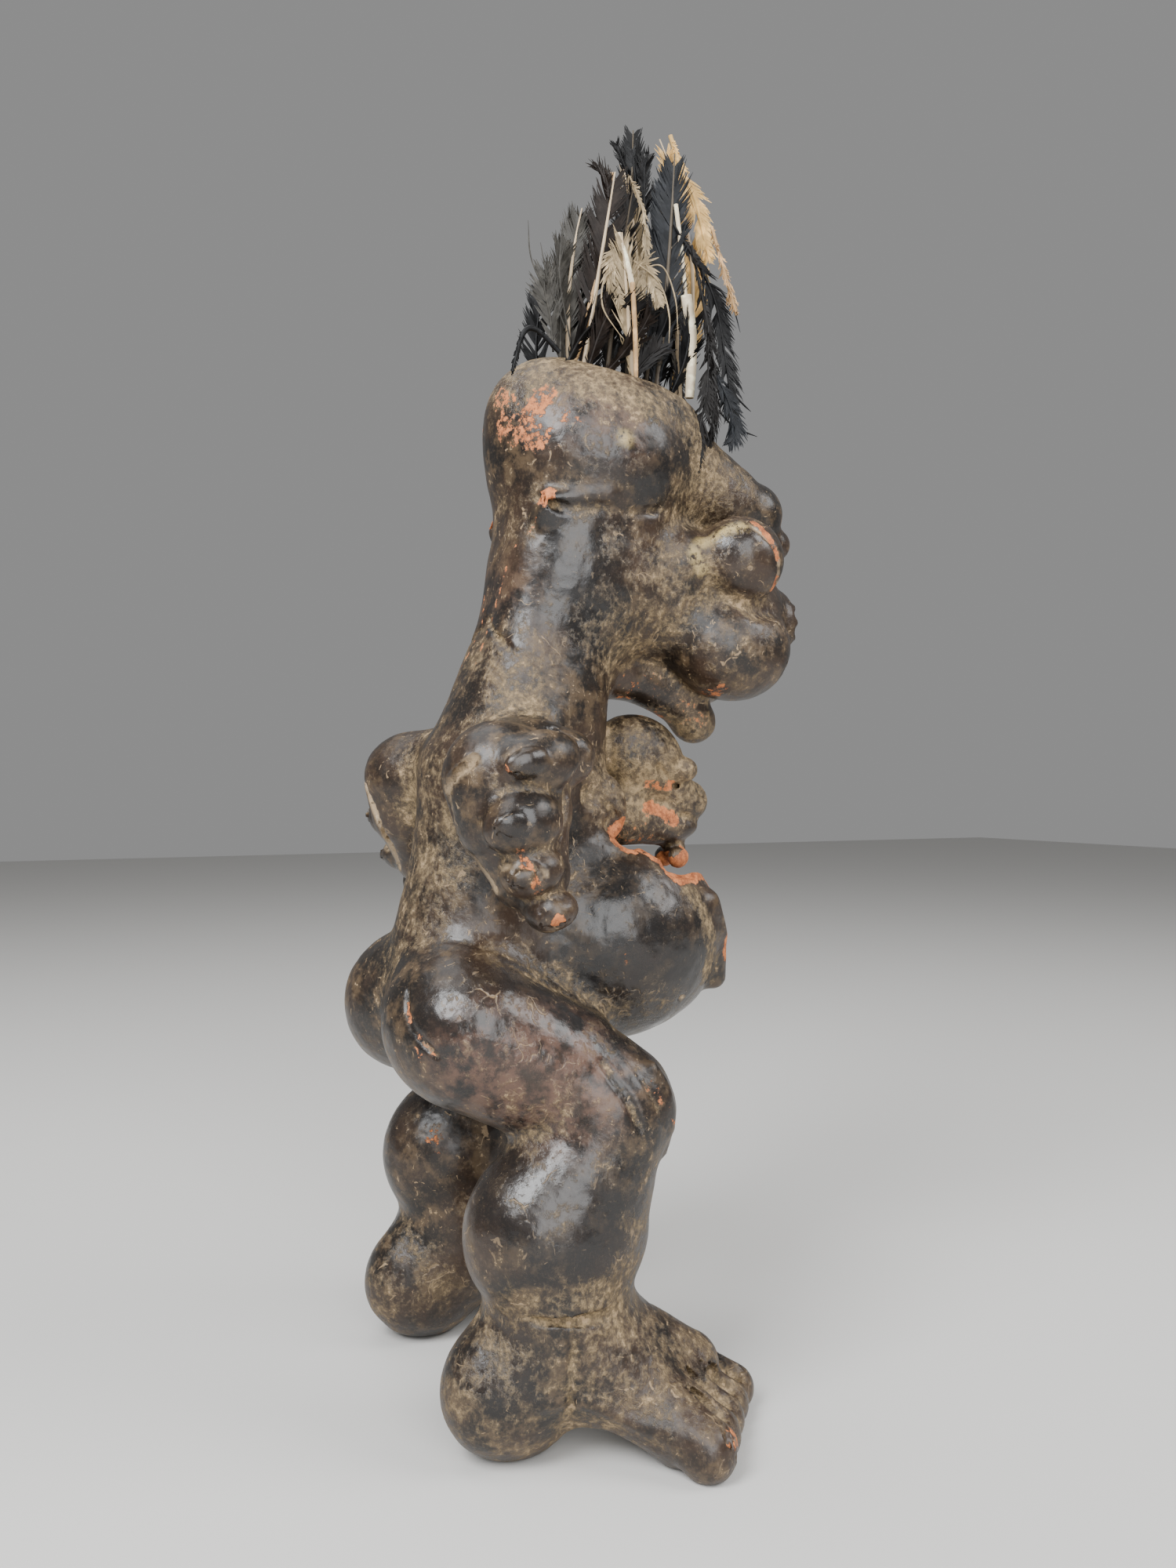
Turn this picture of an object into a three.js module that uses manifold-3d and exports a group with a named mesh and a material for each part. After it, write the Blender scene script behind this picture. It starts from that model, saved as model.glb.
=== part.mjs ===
// A standing figure of fired clay: half squatting, with a long neck, drum eyes, paw
// hands, a broken hollow belly and a small second head at its chest. Worn feathers
// stand in a pit in its crown.
// Millimetres, +Z up. The figure looks along -Y and its left hand is on the +X side.
import * as THREE from "three";
import { triTable } from "three/addons/objects/MarchingCubes.js";
import { mergeVertices } from "three/addons/utils/BufferGeometryUtils.js";
import Module from "manifold-3d";

const wasm = await Module();
wasm.setup();

// The clay figure's height to the top of its skull. Its pose and its carving are shares
// of this height, written below in the millimetres of a figure 342 tall.
const CLAY_HEIGHT = 342;
const SHARE = CLAY_HEIGHT / 342;

// How far the longest feather rises from the pit's floor. The feathers' lengths, widths
// and bends are shares of it, written below for a longest feather of 101.
const LONGEST_FEATHER = 101;
const FEATHER_SHARE = LONGEST_FEATHER / 101;

// Sizes that are set by themselves.
const BELLY_WALL = 6.5;
const PIT_LENGTH = 54 * SHARE; // the crown's pit, front to back
const PIT_WIDTH = 38 * SHARE;
const PIT_DEPTH = 9 * SHARE;
const SOCKET_DEPTH = 5; // how far a quill goes into the pit's floor
const QUILL_RADIUS = 1.2;
const QUILL_CLEARANCE = 0.35;
const VANE_THICKNESS = 1;
const SOLE_CUT = 1.6; // what the floor takes off the feet's underside

// How fine the clay surface is drawn.
const CELL = 1.7 * SHARE;
const CLAY_TRIANGLES = 7900;
const MOST_TRIES = 12; // how often an edge that would fold the surface is tried again
const THIN_SHAPE = 0.1; // twice a triangle's area over its longest side squared

// The sculpting centre lies a little behind the middle of the figure's footprint.
const CENTRE_BACK = 2.5;

// A place on the figure: to its left, to its front, and up from the floor.
const at = (left, front, up) => new THREE.Vector3(left, CENTRE_BACK - front, up).multiplyScalar(SHARE);

// Clay shapes. Each has a distance, which is below zero inside, and the box it lies in.
function boxAround(points, reach) {
  return new THREE.Box3().setFromPoints(points).expandByScalar(reach);
}

// An egg-shaped lump, turned by degrees about the left, front and up directions.
function lump(centre, [wide, long, tall], [pitch, roll, yaw] = [0, 0, 0]) {
  const radii = new THREE.Vector3(wide, long, tall).multiplyScalar(SHARE);
  const angles = new THREE.Euler(...[pitch, roll, yaw].map(THREE.MathUtils.degToRad));
  const e = new THREE.Matrix4().makeRotationFromEuler(angles).elements;
  const distance = (x, y, z) => {
    const [dx, dy, dz] = [x - centre.x, y - centre.y, z - centre.z];
    const u = (e[0] * dx + e[1] * dy + e[2] * dz) / radii.x;
    const v = (e[4] * dx + e[5] * dy + e[6] * dz) / radii.y;
    const w = (e[8] * dx + e[9] * dy + e[10] * dz) / radii.z;
    const depth = Math.sqrt(u * u + v * v + w * w);
    const slope = Math.sqrt((u / radii.x) ** 2 + (v / radii.y) ** 2 + (w / radii.z) ** 2);
    return (depth * (depth - 1)) / Math.max(slope, 1e-6);
  };
  return { distance, box: boxAround([centre], Math.max(...radii.toArray())) };
}

// A roll of clay through points, with a radius at each of them.
function roll(points, radii) {
  const spans = points.slice(1).map((end, i) => {
    const start = points[i];
    const way = end.clone().sub(start);
    return { start, way, square: way.lengthSq(), from: radii[i] * SHARE, to: radii[i + 1] * SHARE };
  });
  const distance = (x, y, z) => {
    let least = Infinity;
    for (const { start, way, square, from, to } of spans) {
      const [dx, dy, dz] = [x - start.x, y - start.y, z - start.z];
      const share = Math.min(1, Math.max(0, (dx * way.x + dy * way.y + dz * way.z) / square));
      const [ex, ey, ez] = [dx - way.x * share, dy - way.y * share, dz - way.z * share];
      const d = Math.sqrt(ex * ex + ey * ey + ez * ez) - (from + (to - from) * share);
      if (d < least) least = d;
    }
    return least;
  };
  return { distance, box: boxAround(points, Math.max(...radii) * SHARE) };
}

// A roll that runs smoothly through its points.
function curl(points, radii) {
  const steps = 4 * (points.length - 1);
  const smooth = new THREE.CatmullRomCurve3(points).getPoints(steps);
  const radiusAt = (_, i) => {
    const place = (i / steps) * (radii.length - 1);
    const before = Math.min(radii.length - 2, Math.floor(place));
    return THREE.MathUtils.lerp(radii[before], radii[before + 1], place - before);
  };
  return roll(smooth, smooth.map(radiusAt));
}

// A ring of clay about an axis.
function ring(centre, axis, radius, thick) {
  const middle = radius * SHARE;
  const distance = (x, y, z) => {
    const [dx, dy, dz] = [x - centre.x, y - centre.y, z - centre.z];
    const along = dx * axis.x + dy * axis.y + dz * axis.z;
    const across = Math.sqrt(Math.max(0, dx * dx + dy * dy + dz * dz - along * along));
    return Math.hypot(across - middle, along) - thick * SHARE;
  };
  return { distance, box: boxAround([centre], middle + thick * SHARE) };
}

// The figure is a list of steps: clay is added, or a hollow is pressed in, and each
// step runs into what is there over a blend width.
const work = [];
const note = (sign, blend, shapes) => {
  shapes.forEach((shape) => work.push({ shape, blend: blend * SHARE, sign }));
};
const add = (blend, ...shapes) => note(1, blend, shapes);
const press = (blend, ...shapes) => note(-1, blend, shapes);
const SIDES = [-1, 1];
const BELLY = { middle: at(0, 5, 147), radii: [41, 42, 37] };
const LEG_SPREAD = 44; // how far each leg stands from the middle

function torso() {
  add(1, roll([at(0, -24, 222), at(0, -31, 196), at(0, -36, 160), at(0, -40, 132)], [23, 27, 29, 32]));
  add(14, roll([at(-30, -38, 203), at(30, -38, 203)], [16, 16])); // shoulders
  add(14, lump(at(0, -10, 190), [21, 15, 26])); // chest
  add(12, lump(BELLY.middle, BELLY.radii)); // belly
}

function neck() {
  add(12, roll([at(0, -4, 292), at(0, -10, 256), at(0, -21, 222)], [24, 22.5, 23]));
  for (const side of SIDES) {
    add(8, roll([at(side * 9, -15, 290), at(side * 9, -22.5, 254), at(side * 12, -30, 216)], [11, 13, 15]));
  }
}

function head() {
  add(9, lump(at(0, 0, 308), [35.5, 35.5, 34], [4, 0, 0])); // skull
  add(8, lump(at(0, -16, 321), [21, 20.5, 20])); // its high back
  add(10, lump(at(0, 16, 322), [24, 24, 13])); // front of the crown
  press(5, lump(at(0, 18, 346), [46, 30, 13.5])); // the crown dips to each side
  add(16, roll([at(0, -4, 272), at(0, 24, 264), at(0, 50, 256)], [24, 24, 20])); // face
  add(10, roll([at(0, 26, 311), at(0, 52, 300), at(0, 62, 296)], [20, 16, 13])); // forehead
  add(5, lump(at(0, 65, 296.5), [13.5, 12, 11])); // brow knob
  add(3, roll([at(0, 66, 290), at(0, 76, 287)], [6, 6.5])); // nose
  for (const side of SIDES) {
    press(5, lump(at(side * 38, 7, 280), [8, 21, 10], [0, 0, side * 10])); // temple
    add(6, roll([at(side * 16, 28, 274), at(side * 17, 44, 275)], [11, 11.5])); // side of the face
    press(3, curl([at(side * 27, 36, 287), at(side * 20, 46, 291), at(side * 14, 62, 290)], [1, 1.8, 2.3]));
    add(9, lump(at(side * 15, 49, 245.5), [17.5, 22, 18.5])); // cheek
    press(3, curl([at(side * 30, 40, 262), at(side * 31, 50, 258.5), at(side * 20, 66, 260)], [1.5, 4, 3.2]));
    add(2.5, lump(at(side * 22.5, 47.5, 275.5), [14.5, 16, 15])); // eye drum
    add(1, ring(at(side * 21, 57, 276), eyeAxis(side), 10.3, 2.5)); // its rim
    add(4, lump(at(side * 21, -22, 286.5), [4, 7, 5.5])); // ear
  }
}

function eyeAxis(side) {
  return at(side * 3.5, 20, 1).sub(at(0, 0, 0)).normalize();
}

function mouth() {
  add(6, lump(at(0, 60, 257), [18.5, 19, 22])); // muzzle
  for (const side of SIDES) {
    press(2, curl([at(side * 20, 65, 267), at(side * 18, 71, 257), at(side * 11, 74, 243)], [1.6, 2, 1.5]));
  }
  add(2.5, ring(at(0, 75.2, 257), new THREE.Vector3(0, -1, 0), 10.5, 3.2)); // lips
  press(2, lump(at(0, 78.5, 257), [7.5, 7, 7.5])); // the open mouth
}

// The throat's web and the beard that hangs from it, clear of the neck at the back.
function throat() {
  add(5, curl([at(2, 7, 236), at(2, 21, 234.5), at(2, 36, 228.5), at(2, 43, 221)], [8, 8.5, 9, 8.5]));
}

function arm(side) {
  const palm = roll(
    [at(side * 45, -50, 200), at(side * 46, -46, 190), at(side * 50, -42, 172), at(side * 54, -38, 160)],
    [17, 18, 12, 6],
  );
  add(9, palm);
  add(5, roll([at(side * 40, -32, 208), at(side * 48, -29, 206)], [9, 8.5])); // thumb side
  // Fingers curled over the palm, one below the other.
  const fingers = [
    [59, -43, 204, 13.5, 9.5],
    [62, -49, 187, 12, 9.5],
    [62, -46, 173, 10, 7.5],
    [61, -40, 162, 8, 6.5],
  ];
  for (const [left, front, up, long, tall] of fingers) {
    add(2.2, lump(at(side * left, front, up), [9, long, tall], [-14, 0, 0]));
  }
  // The hollow along the hand's front.
  press(3, curl([at(side * 60, -29, 205), at(side * 62, -31, 188), at(side * 62, -33, 172)], [3.5, 4, 3]));
}

function leg(side) {
  const out = side * LEG_SPREAD;
  add(9, lump(at(side * 21, -56, 125), [21.5, 22.5, 23])); // buttock
  add(9, roll([at(side * 31, -52, 122), at(side * 37, -26, 108), at(out, -13.5, 99)], [23, 22, 19.5])); // thigh
  add(6, roll([at(out, -14, 98), at(out + side, -20, 84)], [19.5, 20.5])); // knee
  add(8, lump(at(out, -31, 64), [23.5, 29, 28])); // calf
  add(3, roll([at(out, -31, 46), at(out, -30, 34)], [22.5, 23])); // ankle
  const folds = 4;
  for (let fold = 0; fold < folds; fold++) {
    const across = out + 6 * (fold - (folds - 1) / 2);
    add(2, curl([at(across, -3.5, 110), at(across, 2, 99), at(across, 0, 86)], [2.5, 2.8, 2])); // knee cap
  }
}

function foot(side) {
  const out = LEG_SPREAD;
  const sunk = SOLE_CUT / SHARE; // how far the clay reaches below the floor before the cut
  add(7, lump(at(side * (out - 1), -44, 22 - sunk), [17.5, 23, 22])); // heel
  add(9, roll([at(side * (out + 1), -18, 29), at(side * (out + 7), 10, 18)], [16.5, 10.5])); // instep
  // The foot's outer edge.
  add(9, roll([at(side * (out + 12), -18, 22), at(side * (out + 24), -2, 12 - sunk)], [14, 12]));
  press(8, roll([at(side * (out - 1), -18, -6), at(side * (out + 28), -26, -6)], [9, 12])); // arch
  const toes = 5;
  for (let toe = 0; toe < toes; toe++) {
    const outward = toe / (toes - 1);
    const thick = 7.6 + 1.6 * outward ** 2;
    const root = at(side * (out + 3 + 19 * outward), 3 - 12 * outward, 23 - 6 * outward);
    const tip = at(side * (out + 5 + 30 * outward), 27 - 26 * outward, thick - sunk);
    add(1.2, roll([root, tip], [thick, thick]));
  }
}

// The small second head, looking the same way, on a neck that rises from the chest.
function child() {
  add(4, roll([at(0, -4, 184), at(0, 12, 190), at(0, 18, 200)], [9, 8, 9])); // neck
  add(3, lump(at(0, 19, 208.5), [13.5, 17, 14], [20, 0, 0])); // skull
  add(4, roll([at(0, 26, 202), at(0, 36, 192)], [11, 8])); // face
  add(1.5, lump(at(0, 40, 192), [6.5, 7, 7.5])); // muzzle
  add(3, roll([at(0, 12, 186), at(0, 28, 185)], [10, 8])); // throat
  add(2, lump(at(0, 31, 182), [8, 12, 5.5], [-8, 0, 0])); // jaw
  add(2, lump(at(0, 34, 175), [4, 4.5, 4])); // chin
  for (const side of SIDES) {
    add(1.5, lump(at(side * 9, 33, 203), [4.5, 5, 4.5])); // eye
    add(2, lump(at(side * 15, -2, 190), [6, 9, 12])); // shoulder
    const arm = [at(side * 18, -12, 178), at(side * 20, -3, 174), at(side * 18, 8, 170)];
    add(2, curl(arm, [5, 5.5, 4.5]));
  }
}

// The belly is an empty pot, broken open by a bite from above and one from the front,
// between two upright flakes. Its edge is chipped all round: each chip is found outward
// from the break until clay is met.
function brokenBelly() {
  const { middle, radii } = BELLY;
  press(2, lump(middle, radii.map((radius) => radius - BELLY_WALL / SHARE)));
  for (const side of SIDES) {
    add(3, roll([at(side * 26, 31.5, 158), at(side * 21, 38, 146), at(side * 19, 38.5, 132)], [5, 5, 5]));
  }
  const bites = [
    lump(at(0, 24, 186.5), [37, 23, 24], [-25, 0, 0]),
    lump(at(0, 45, 150), [18, 20, 26], [-8, 0, 0]),
  ];
  press(1, ...bites);
  const facing = at(0, 0.819, 0.574).sub(at(0, 0, 0)).normalize();
  const along = at(0, -0.574, 0.819).sub(at(0, 0, 0)).normalize();
  const across = new THREE.Vector3(1, 0, 0);
  const reach = new THREE.Vector3(...radii).multiplyScalar(SHARE);
  const chips = 19;
  for (let chip = 0; chip < chips; chip++) {
    const turn = (2 * Math.PI * (chip + 0.4 * Math.sin(3 * chip))) / chips;
    const outward = along.clone().multiplyScalar(Math.cos(turn)).addScaledVector(across, Math.sin(turn));
    const place = new THREE.Vector3();
    const isOpen = () => bites.some(({ distance }) => distance(place.x, place.y, place.z) <= 0);
    for (let tilt = 0; tilt < 2.4 && (tilt === 0 || isOpen()); tilt += 0.04) {
      const way = facing.clone().multiplyScalar(Math.cos(tilt)).addScaledVector(outward, Math.sin(tilt));
      place.copy(middle).add(way.multiply(reach));
    }
    press(1, lump(place, [3.5 + (chip % 3), 4 + (chip % 2), 3.5 + ((chip * 2) % 3)]));
  }
}

torso();
neck();
head();
mouth();
throat();
for (const side of SIDES) {
  arm(side);
  leg(side);
  foot(side);
}
brokenBelly();
child();

// Two surfaces closer than the blend width run into each other.
function melt(a, b, blend) {
  const near = Math.max(blend - Math.abs(a - b), 0);
  return Math.min(a, b) - (near * near) / (4 * blend);
}

// The clay on a grid of distances, worked only round each step's own box.
function gridOf(steps) {
  const whole = new THREE.Box3();
  steps.filter(({ sign }) => sign > 0).forEach(({ shape }) => whole.union(shape.box));
  whole.expandByScalar(3 * CELL);
  whole.min.z = -SOLE_CUT * SHARE - 2.5 * CELL;
  const counts = whole.getSize(new THREE.Vector3()).divideScalar(CELL).ceil().addScalar(1);
  const [nx, ny, nz] = counts.toArray();
  const empty = 1000;
  const values = new Float32Array(nx * ny * nz).fill(empty);
  const last = counts.clone().subScalar(1);
  const { min } = whole;
  for (const { shape, blend, sign } of steps) {
    const near = shape.box.clone().expandByScalar(blend + 2 * CELL);
    const from = near.min.sub(min).divideScalar(CELL).floor().max(new THREE.Vector3());
    const to = near.max.sub(min).divideScalar(CELL).ceil().min(last);
    for (let k = from.z; k <= to.z; k++) {
      for (let j = from.y; j <= to.y; j++) {
        for (let i = from.x; i <= to.x; i++) {
          const q = i + nx * (j + ny * k);
          const d = shape.distance(min.x + i * CELL, min.y + j * CELL, min.z + k * CELL);
          values[q] = sign * melt(sign * values[q], d, blend);
        }
      }
    }
  }
  fillPinches(values, [1, nx, nx * ny], [nx, ny, nz]);
  return { values, nx, ny, nz, min };
}

// Where clay meets only corner to corner across a grid square, the surface would pinch
// itself, so the thinner of the two gaps is filled.
function fillPinches(values, steps, counts) {
  const total = counts[0] * counts[1] * counts[2];
  const planes = [[0, 1], [0, 2], [1, 2]];
  let filled = true;
  while (filled) {
    filled = false;
    for (const [a, b] of planes) {
      for (let q = 0; q < total - steps[a] - steps[b]; q++) {
        const square = [q, q + steps[a], q + steps[a] + steps[b], q + steps[b]];
        const [first, second, third, fourth] = square.map((corner) => values[corner] < 0);
        if (first !== third || second !== fourth || first === second) continue;
        const gap = square.filter((corner) => values[corner] >= 0);
        const thinner = values[gap[0]] < values[gap[1]] ? gap[0] : gap[1];
        values[thinner] = -0.05 * CELL;
        filled = true;
      }
    }
  }
}

// The surface of the clay: one point inside each grid cell that the surface crosses,
// or one for each sheet of it, and a square face about each crossed grid line.
function skinOf({ values, nx, ny, nz, min }) {
  const corners = [
    [0, 0, 0], [1, 0, 0], [1, 1, 0], [0, 1, 0],
    [0, 0, 1], [1, 0, 1], [1, 1, 1], [0, 1, 1],
  ];
  const edges = [
    [0, 1], [1, 2], [2, 3], [3, 0],
    [4, 5], [5, 6], [6, 7], [7, 4],
    [0, 4], [1, 5], [2, 6], [3, 7],
  ];
  const indexOf = (i, j, k) => i + nx * (j + ny * k);
  const shift = corners.map((corner) => indexOf(...corner));
  const points = [];
  const pointAt = new Map(); // by cell and edge
  const sheetsOf = (inside) => {
    const sheets = [];
    for (let n = inside * 16; triTable[n] !== -1; n += 3) {
      const sheet = new Set([triTable[n], triTable[n + 1], triTable[n + 2]]);
      for (const other of sheets.filter((known) => [...known].some((edge) => sheet.has(edge)))) {
        other.forEach((edge) => sheet.add(edge));
        sheets.splice(sheets.indexOf(other), 1);
      }
      sheets.push(sheet);
    }
    return sheets;
  };
  const sheetTable = Array.from({ length: 256 }, (_, inside) => sheetsOf(inside));
  const forEachCell = (visit) => {
    for (let k = 0; k < nz - 1; k++) {
      for (let j = 0; j < ny - 1; j++) {
        for (let i = 0; i < nx - 1; i++) visit(i, j, k);
      }
    }
  };
  forEachCell((i, j, k) => {
    const q = indexOf(i, j, k);
    let inside = 0;
    for (let corner = 0; corner < 8; corner++) {
      if (values[q + shift[corner]] < 0) inside |= 1 << corner;
    }
    for (const sheet of sheetTable[inside]) {
      const middle = new THREE.Vector3();
      for (const edge of sheet) {
        const [a, b] = edges[edge];
        const [va, vb] = [values[q + shift[a]], values[q + shift[b]]];
        middle.add(new THREE.Vector3(...corners[a]).lerp(new THREE.Vector3(...corners[b]), va / (va - vb)));
        pointAt.set(q * 12 + edge, points.length);
      }
      middle.divideScalar(sheet.size).add(new THREE.Vector3(i, j, k));
      points.push(middle.multiplyScalar(CELL).add(min));
    }
  });
  // The four cells about a grid line, turning about its direction, with the line's edge in each.
  const x = { step: [1, 0, 0], about: [[0, 0, 0, 0], [0, -1, 0, 2], [0, -1, -1, 6], [0, 0, -1, 4]] };
  const y = { step: [0, 1, 0], about: [[0, 0, 0, 3], [0, 0, -1, 7], [-1, 0, -1, 5], [-1, 0, 0, 1]] };
  const z = { step: [0, 0, 1], about: [[0, 0, 0, 8], [-1, 0, 0, 9], [-1, -1, 0, 10], [0, -1, 0, 11]] };
  const triangles = [];
  forEachCell((i, j, k) => {
    const q = indexOf(i, j, k);
    for (const { step, about } of [x, y, z]) {
      const leaving = values[q] < 0;
      if (leaving === values[q + indexOf(...step)] < 0) continue;
      const square = about.map(([di, dj, dk, edge]) => pointAt.get((q + indexOf(di, dj, dk)) * 12 + edge));
      if (!leaving) square.reverse();
      const [a, b, c, d] = square;
      const acrossAC = points[a].distanceTo(points[c]) < points[b].distanceTo(points[d]);
      triangles.push(...(acrossAC ? [a, b, c, a, c, d] : [b, c, d, b, d, a]));
    }
  });
  return { points, triangles };
}

// Thins a closed surface to a number of triangles. The edge whose loss bends the
// surface least goes first, and no edge goes that would fold or pinch the surface.
function thin({ points, triangles }, wanted) {
  const faces = [];
  const around = points.map(() => new Set());
  for (let n = 0; n < triangles.length; n += 3) {
    const face = triangles.slice(n, n + 3);
    face.forEach((p) => around[p].add(faces.length));
    faces.push(face);
  }
  const normalOf = (a, b, c) => b.clone().sub(a).cross(c.clone().sub(a));
  // Each point's error form: the ten sums of its planes, weighed by their areas.
  const forms = points.map(() => new Float64Array(10));
  for (const face of faces) {
    const [a, b, c] = face.map((p) => points[p]);
    const normal = normalOf(a, b, c);
    const area = normal.length();
    if (area < 1e-12) continue;
    normal.divideScalar(area);
    const plane = [...normal.toArray(), -normal.dot(a)];
    for (const p of face) {
      let n = 0;
      for (let i = 0; i < 4; i++) {
        for (let j = i; j < 4; j++) forms[p][n++] += area * plane[i] * plane[j];
      }
    }
  }
  const errorAt = (f, { x, y, z }) =>
    f[0] * x * x + f[4] * y * y + f[7] * z * z + f[9] +
    2 * (f[1] * x * y + f[2] * x * z + f[3] * x + f[5] * y * z + f[6] * y + f[8] * z);
  const bestPlace = (f, a, b) => {
    const middle = a.clone().add(b).multiplyScalar(0.5);
    const m = new THREE.Matrix3().set(f[0], f[1], f[2], f[1], f[4], f[5], f[2], f[5], f[7]);
    const size = Math.abs(f[0]) + Math.abs(f[4]) + Math.abs(f[7]);
    if (Math.abs(m.determinant()) > 1e-4 * size ** 3) {
      const solved = new THREE.Vector3(-f[3], -f[6], -f[8]).applyMatrix3(m.invert());
      if (solved.distanceTo(middle) < a.distanceTo(b)) return solved;
    }
    const better = (best, place) => (errorAt(f, place) < errorAt(f, best) ? place : best);
    return [middle, a, b].reduce(better).clone();
  };
  const heap = heapOf((item) => item.cost);
  const version = new Uint32Array(points.length);
  const offer = (a, b) => {
    const form = forms[a].map((value, i) => value + forms[b][i]);
    const place = bestPlace(form, points[a], points[b]);
    const spread = 1e-3 * points[a].distanceToSquared(points[b]);
    const cost = errorAt(form, place) + spread;
    heap.push({ cost, a, b, place, form, age: version[a] + version[b], tries: 0 });
  };
  const neighbours = (p) => {
    const found = new Set();
    around[p].forEach((f) => faces[f].forEach((other) => found.add(other)));
    found.delete(p);
    return found;
  };
  points.forEach((_, a) => neighbours(a).forEach((b) => a < b && offer(a, b)));
  const shapeOf = (a, b, c, normal) =>
    normal.length() / Math.max(a.distanceToSquared(b), b.distanceToSquared(c), c.distanceToSquared(a), 1e-12);
  const folds = (moved, other, place) => {
    const facing = new THREE.Vector3();
    around[moved].forEach((f) => facing.add(normalOf(...faces[f].map((p) => points[p]))));
    for (const f of around[moved]) {
      if (faces[f].includes(other)) continue;
      const before = faces[f].map((p) => points[p]);
      const after = faces[f].map((p) => (p === moved ? place : points[p]));
      const [was, is] = [normalOf(...before), normalOf(...after)];
      const wasShape = shapeOf(...before, was);
      const shape = shapeOf(...after, is);
      const guide = wasShape < THIN_SHAPE ? facing : was;
      if (is.dot(guide) < 0.2 * is.length() * guide.length()) return true;
      if (shape < THIN_SHAPE && shape < wasShape) return true;
    }
    return false;
  };
  let count = faces.length;
  while (count > wanted && heap.size() > 0) {
    const edge = heap.pop();
    const { a, b, place, form, age } = edge;
    if (!around[a] || !around[b] || age !== version[a] + version[b]) continue;
    const near = neighbours(b);
    if (!near.has(a)) continue;
    const shared = [...neighbours(a)].filter((p) => near.has(p));
    if (shared.length !== 2) continue;
    if (folds(a, b, place) || folds(b, a, place)) {
      const later = { ...edge, cost: 3 * edge.cost + 1e-3, tries: edge.tries + 1 };
      if (later.tries < MOST_TRIES) heap.push(later);
      continue;
    }
    for (const f of around[b]) {
      if (faces[f].includes(a)) {
        faces[f].forEach((p) => p !== b && around[p].delete(f));
        faces[f] = null;
        count--;
      } else {
        faces[f] = faces[f].map((p) => (p === b ? a : p));
        around[a].add(f);
      }
    }
    around[b] = null;
    points[a] = place;
    forms[a] = form;
    const changed = neighbours(a);
    version[a]++;
    changed.forEach((p) => offer(a, p));
  }
  return { points, triangles: faces.filter((face) => face).flat() };
}

// A queue that gives the cheapest item first.
function heapOf(costOf) {
  const items = [];
  const swap = (i, j) => ([items[i], items[j]] = [items[j], items[i]]);
  const push = (item) => {
    let i = items.push(item) - 1;
    while (i > 0 && costOf(items[i]) < costOf(items[(i - 1) >> 1])) {
      swap(i, (i - 1) >> 1);
      i = (i - 1) >> 1;
    }
  };
  const pop = () => {
    const top = items[0];
    const last = items.pop();
    if (items.length === 0) return top;
    items[0] = last;
    for (let i = 0; ; ) {
      const [left, right] = [2 * i + 1, 2 * i + 2];
      let least = i;
      if (left < items.length && costOf(items[left]) < costOf(items[least])) least = left;
      if (right < items.length && costOf(items[right]) < costOf(items[least])) least = right;
      if (least === i) return top;
      swap(i, least);
      i = least;
    }
  };
  return { push, pop, size: () => items.length };
}

function geometryOf({ points, triangles }) {
  const geometry = new THREE.BufferGeometry();
  geometry.setAttribute("position", new THREE.Float32BufferAttribute(points.flatMap((p) => p.toArray()), 3));
  geometry.setIndex(triangles);
  return geometry;
}

// A closed geometry as a solid that can be cut, and back.
function solidOf(geometry) {
  const bare = new THREE.BufferGeometry();
  bare.setAttribute("position", geometry.getAttribute("position"));
  bare.setIndex(geometry.getIndex());
  const merged = mergeVertices(bare, 1e-4);
  const mesh = new wasm.Mesh({
    numProp: 3,
    vertProperties: new Float32Array(merged.getAttribute("position").array),
    triVerts: new Uint32Array(merged.getIndex().array),
  });
  return new wasm.Manifold(mesh);
}

function geometryFrom(solid) {
  const { vertProperties, triVerts } = solid.getMesh();
  const geometry = new THREE.BufferGeometry();
  geometry.setAttribute("position", new THREE.BufferAttribute(vertProperties, 3));
  geometry.setIndex(new THREE.BufferAttribute(triVerts, 1));
  return geometry;
}

// An upright post with an oval section, its foot at a place.
function post(foot, wide, long, tall, sides) {
  const geometry = new THREE.CylinderGeometry(0.5, 0.5, 1, sides).rotateX(Math.PI / 2).translate(0, 0, 0.5);
  return geometry.scale(wide, long, tall).translate(foot.x, foot.y, foot.z);
}

const PIT_MIDDLE = at(0, 11.5, 338);
const pitFloor = PIT_MIDDLE.z - PIT_DEPTH;

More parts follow.
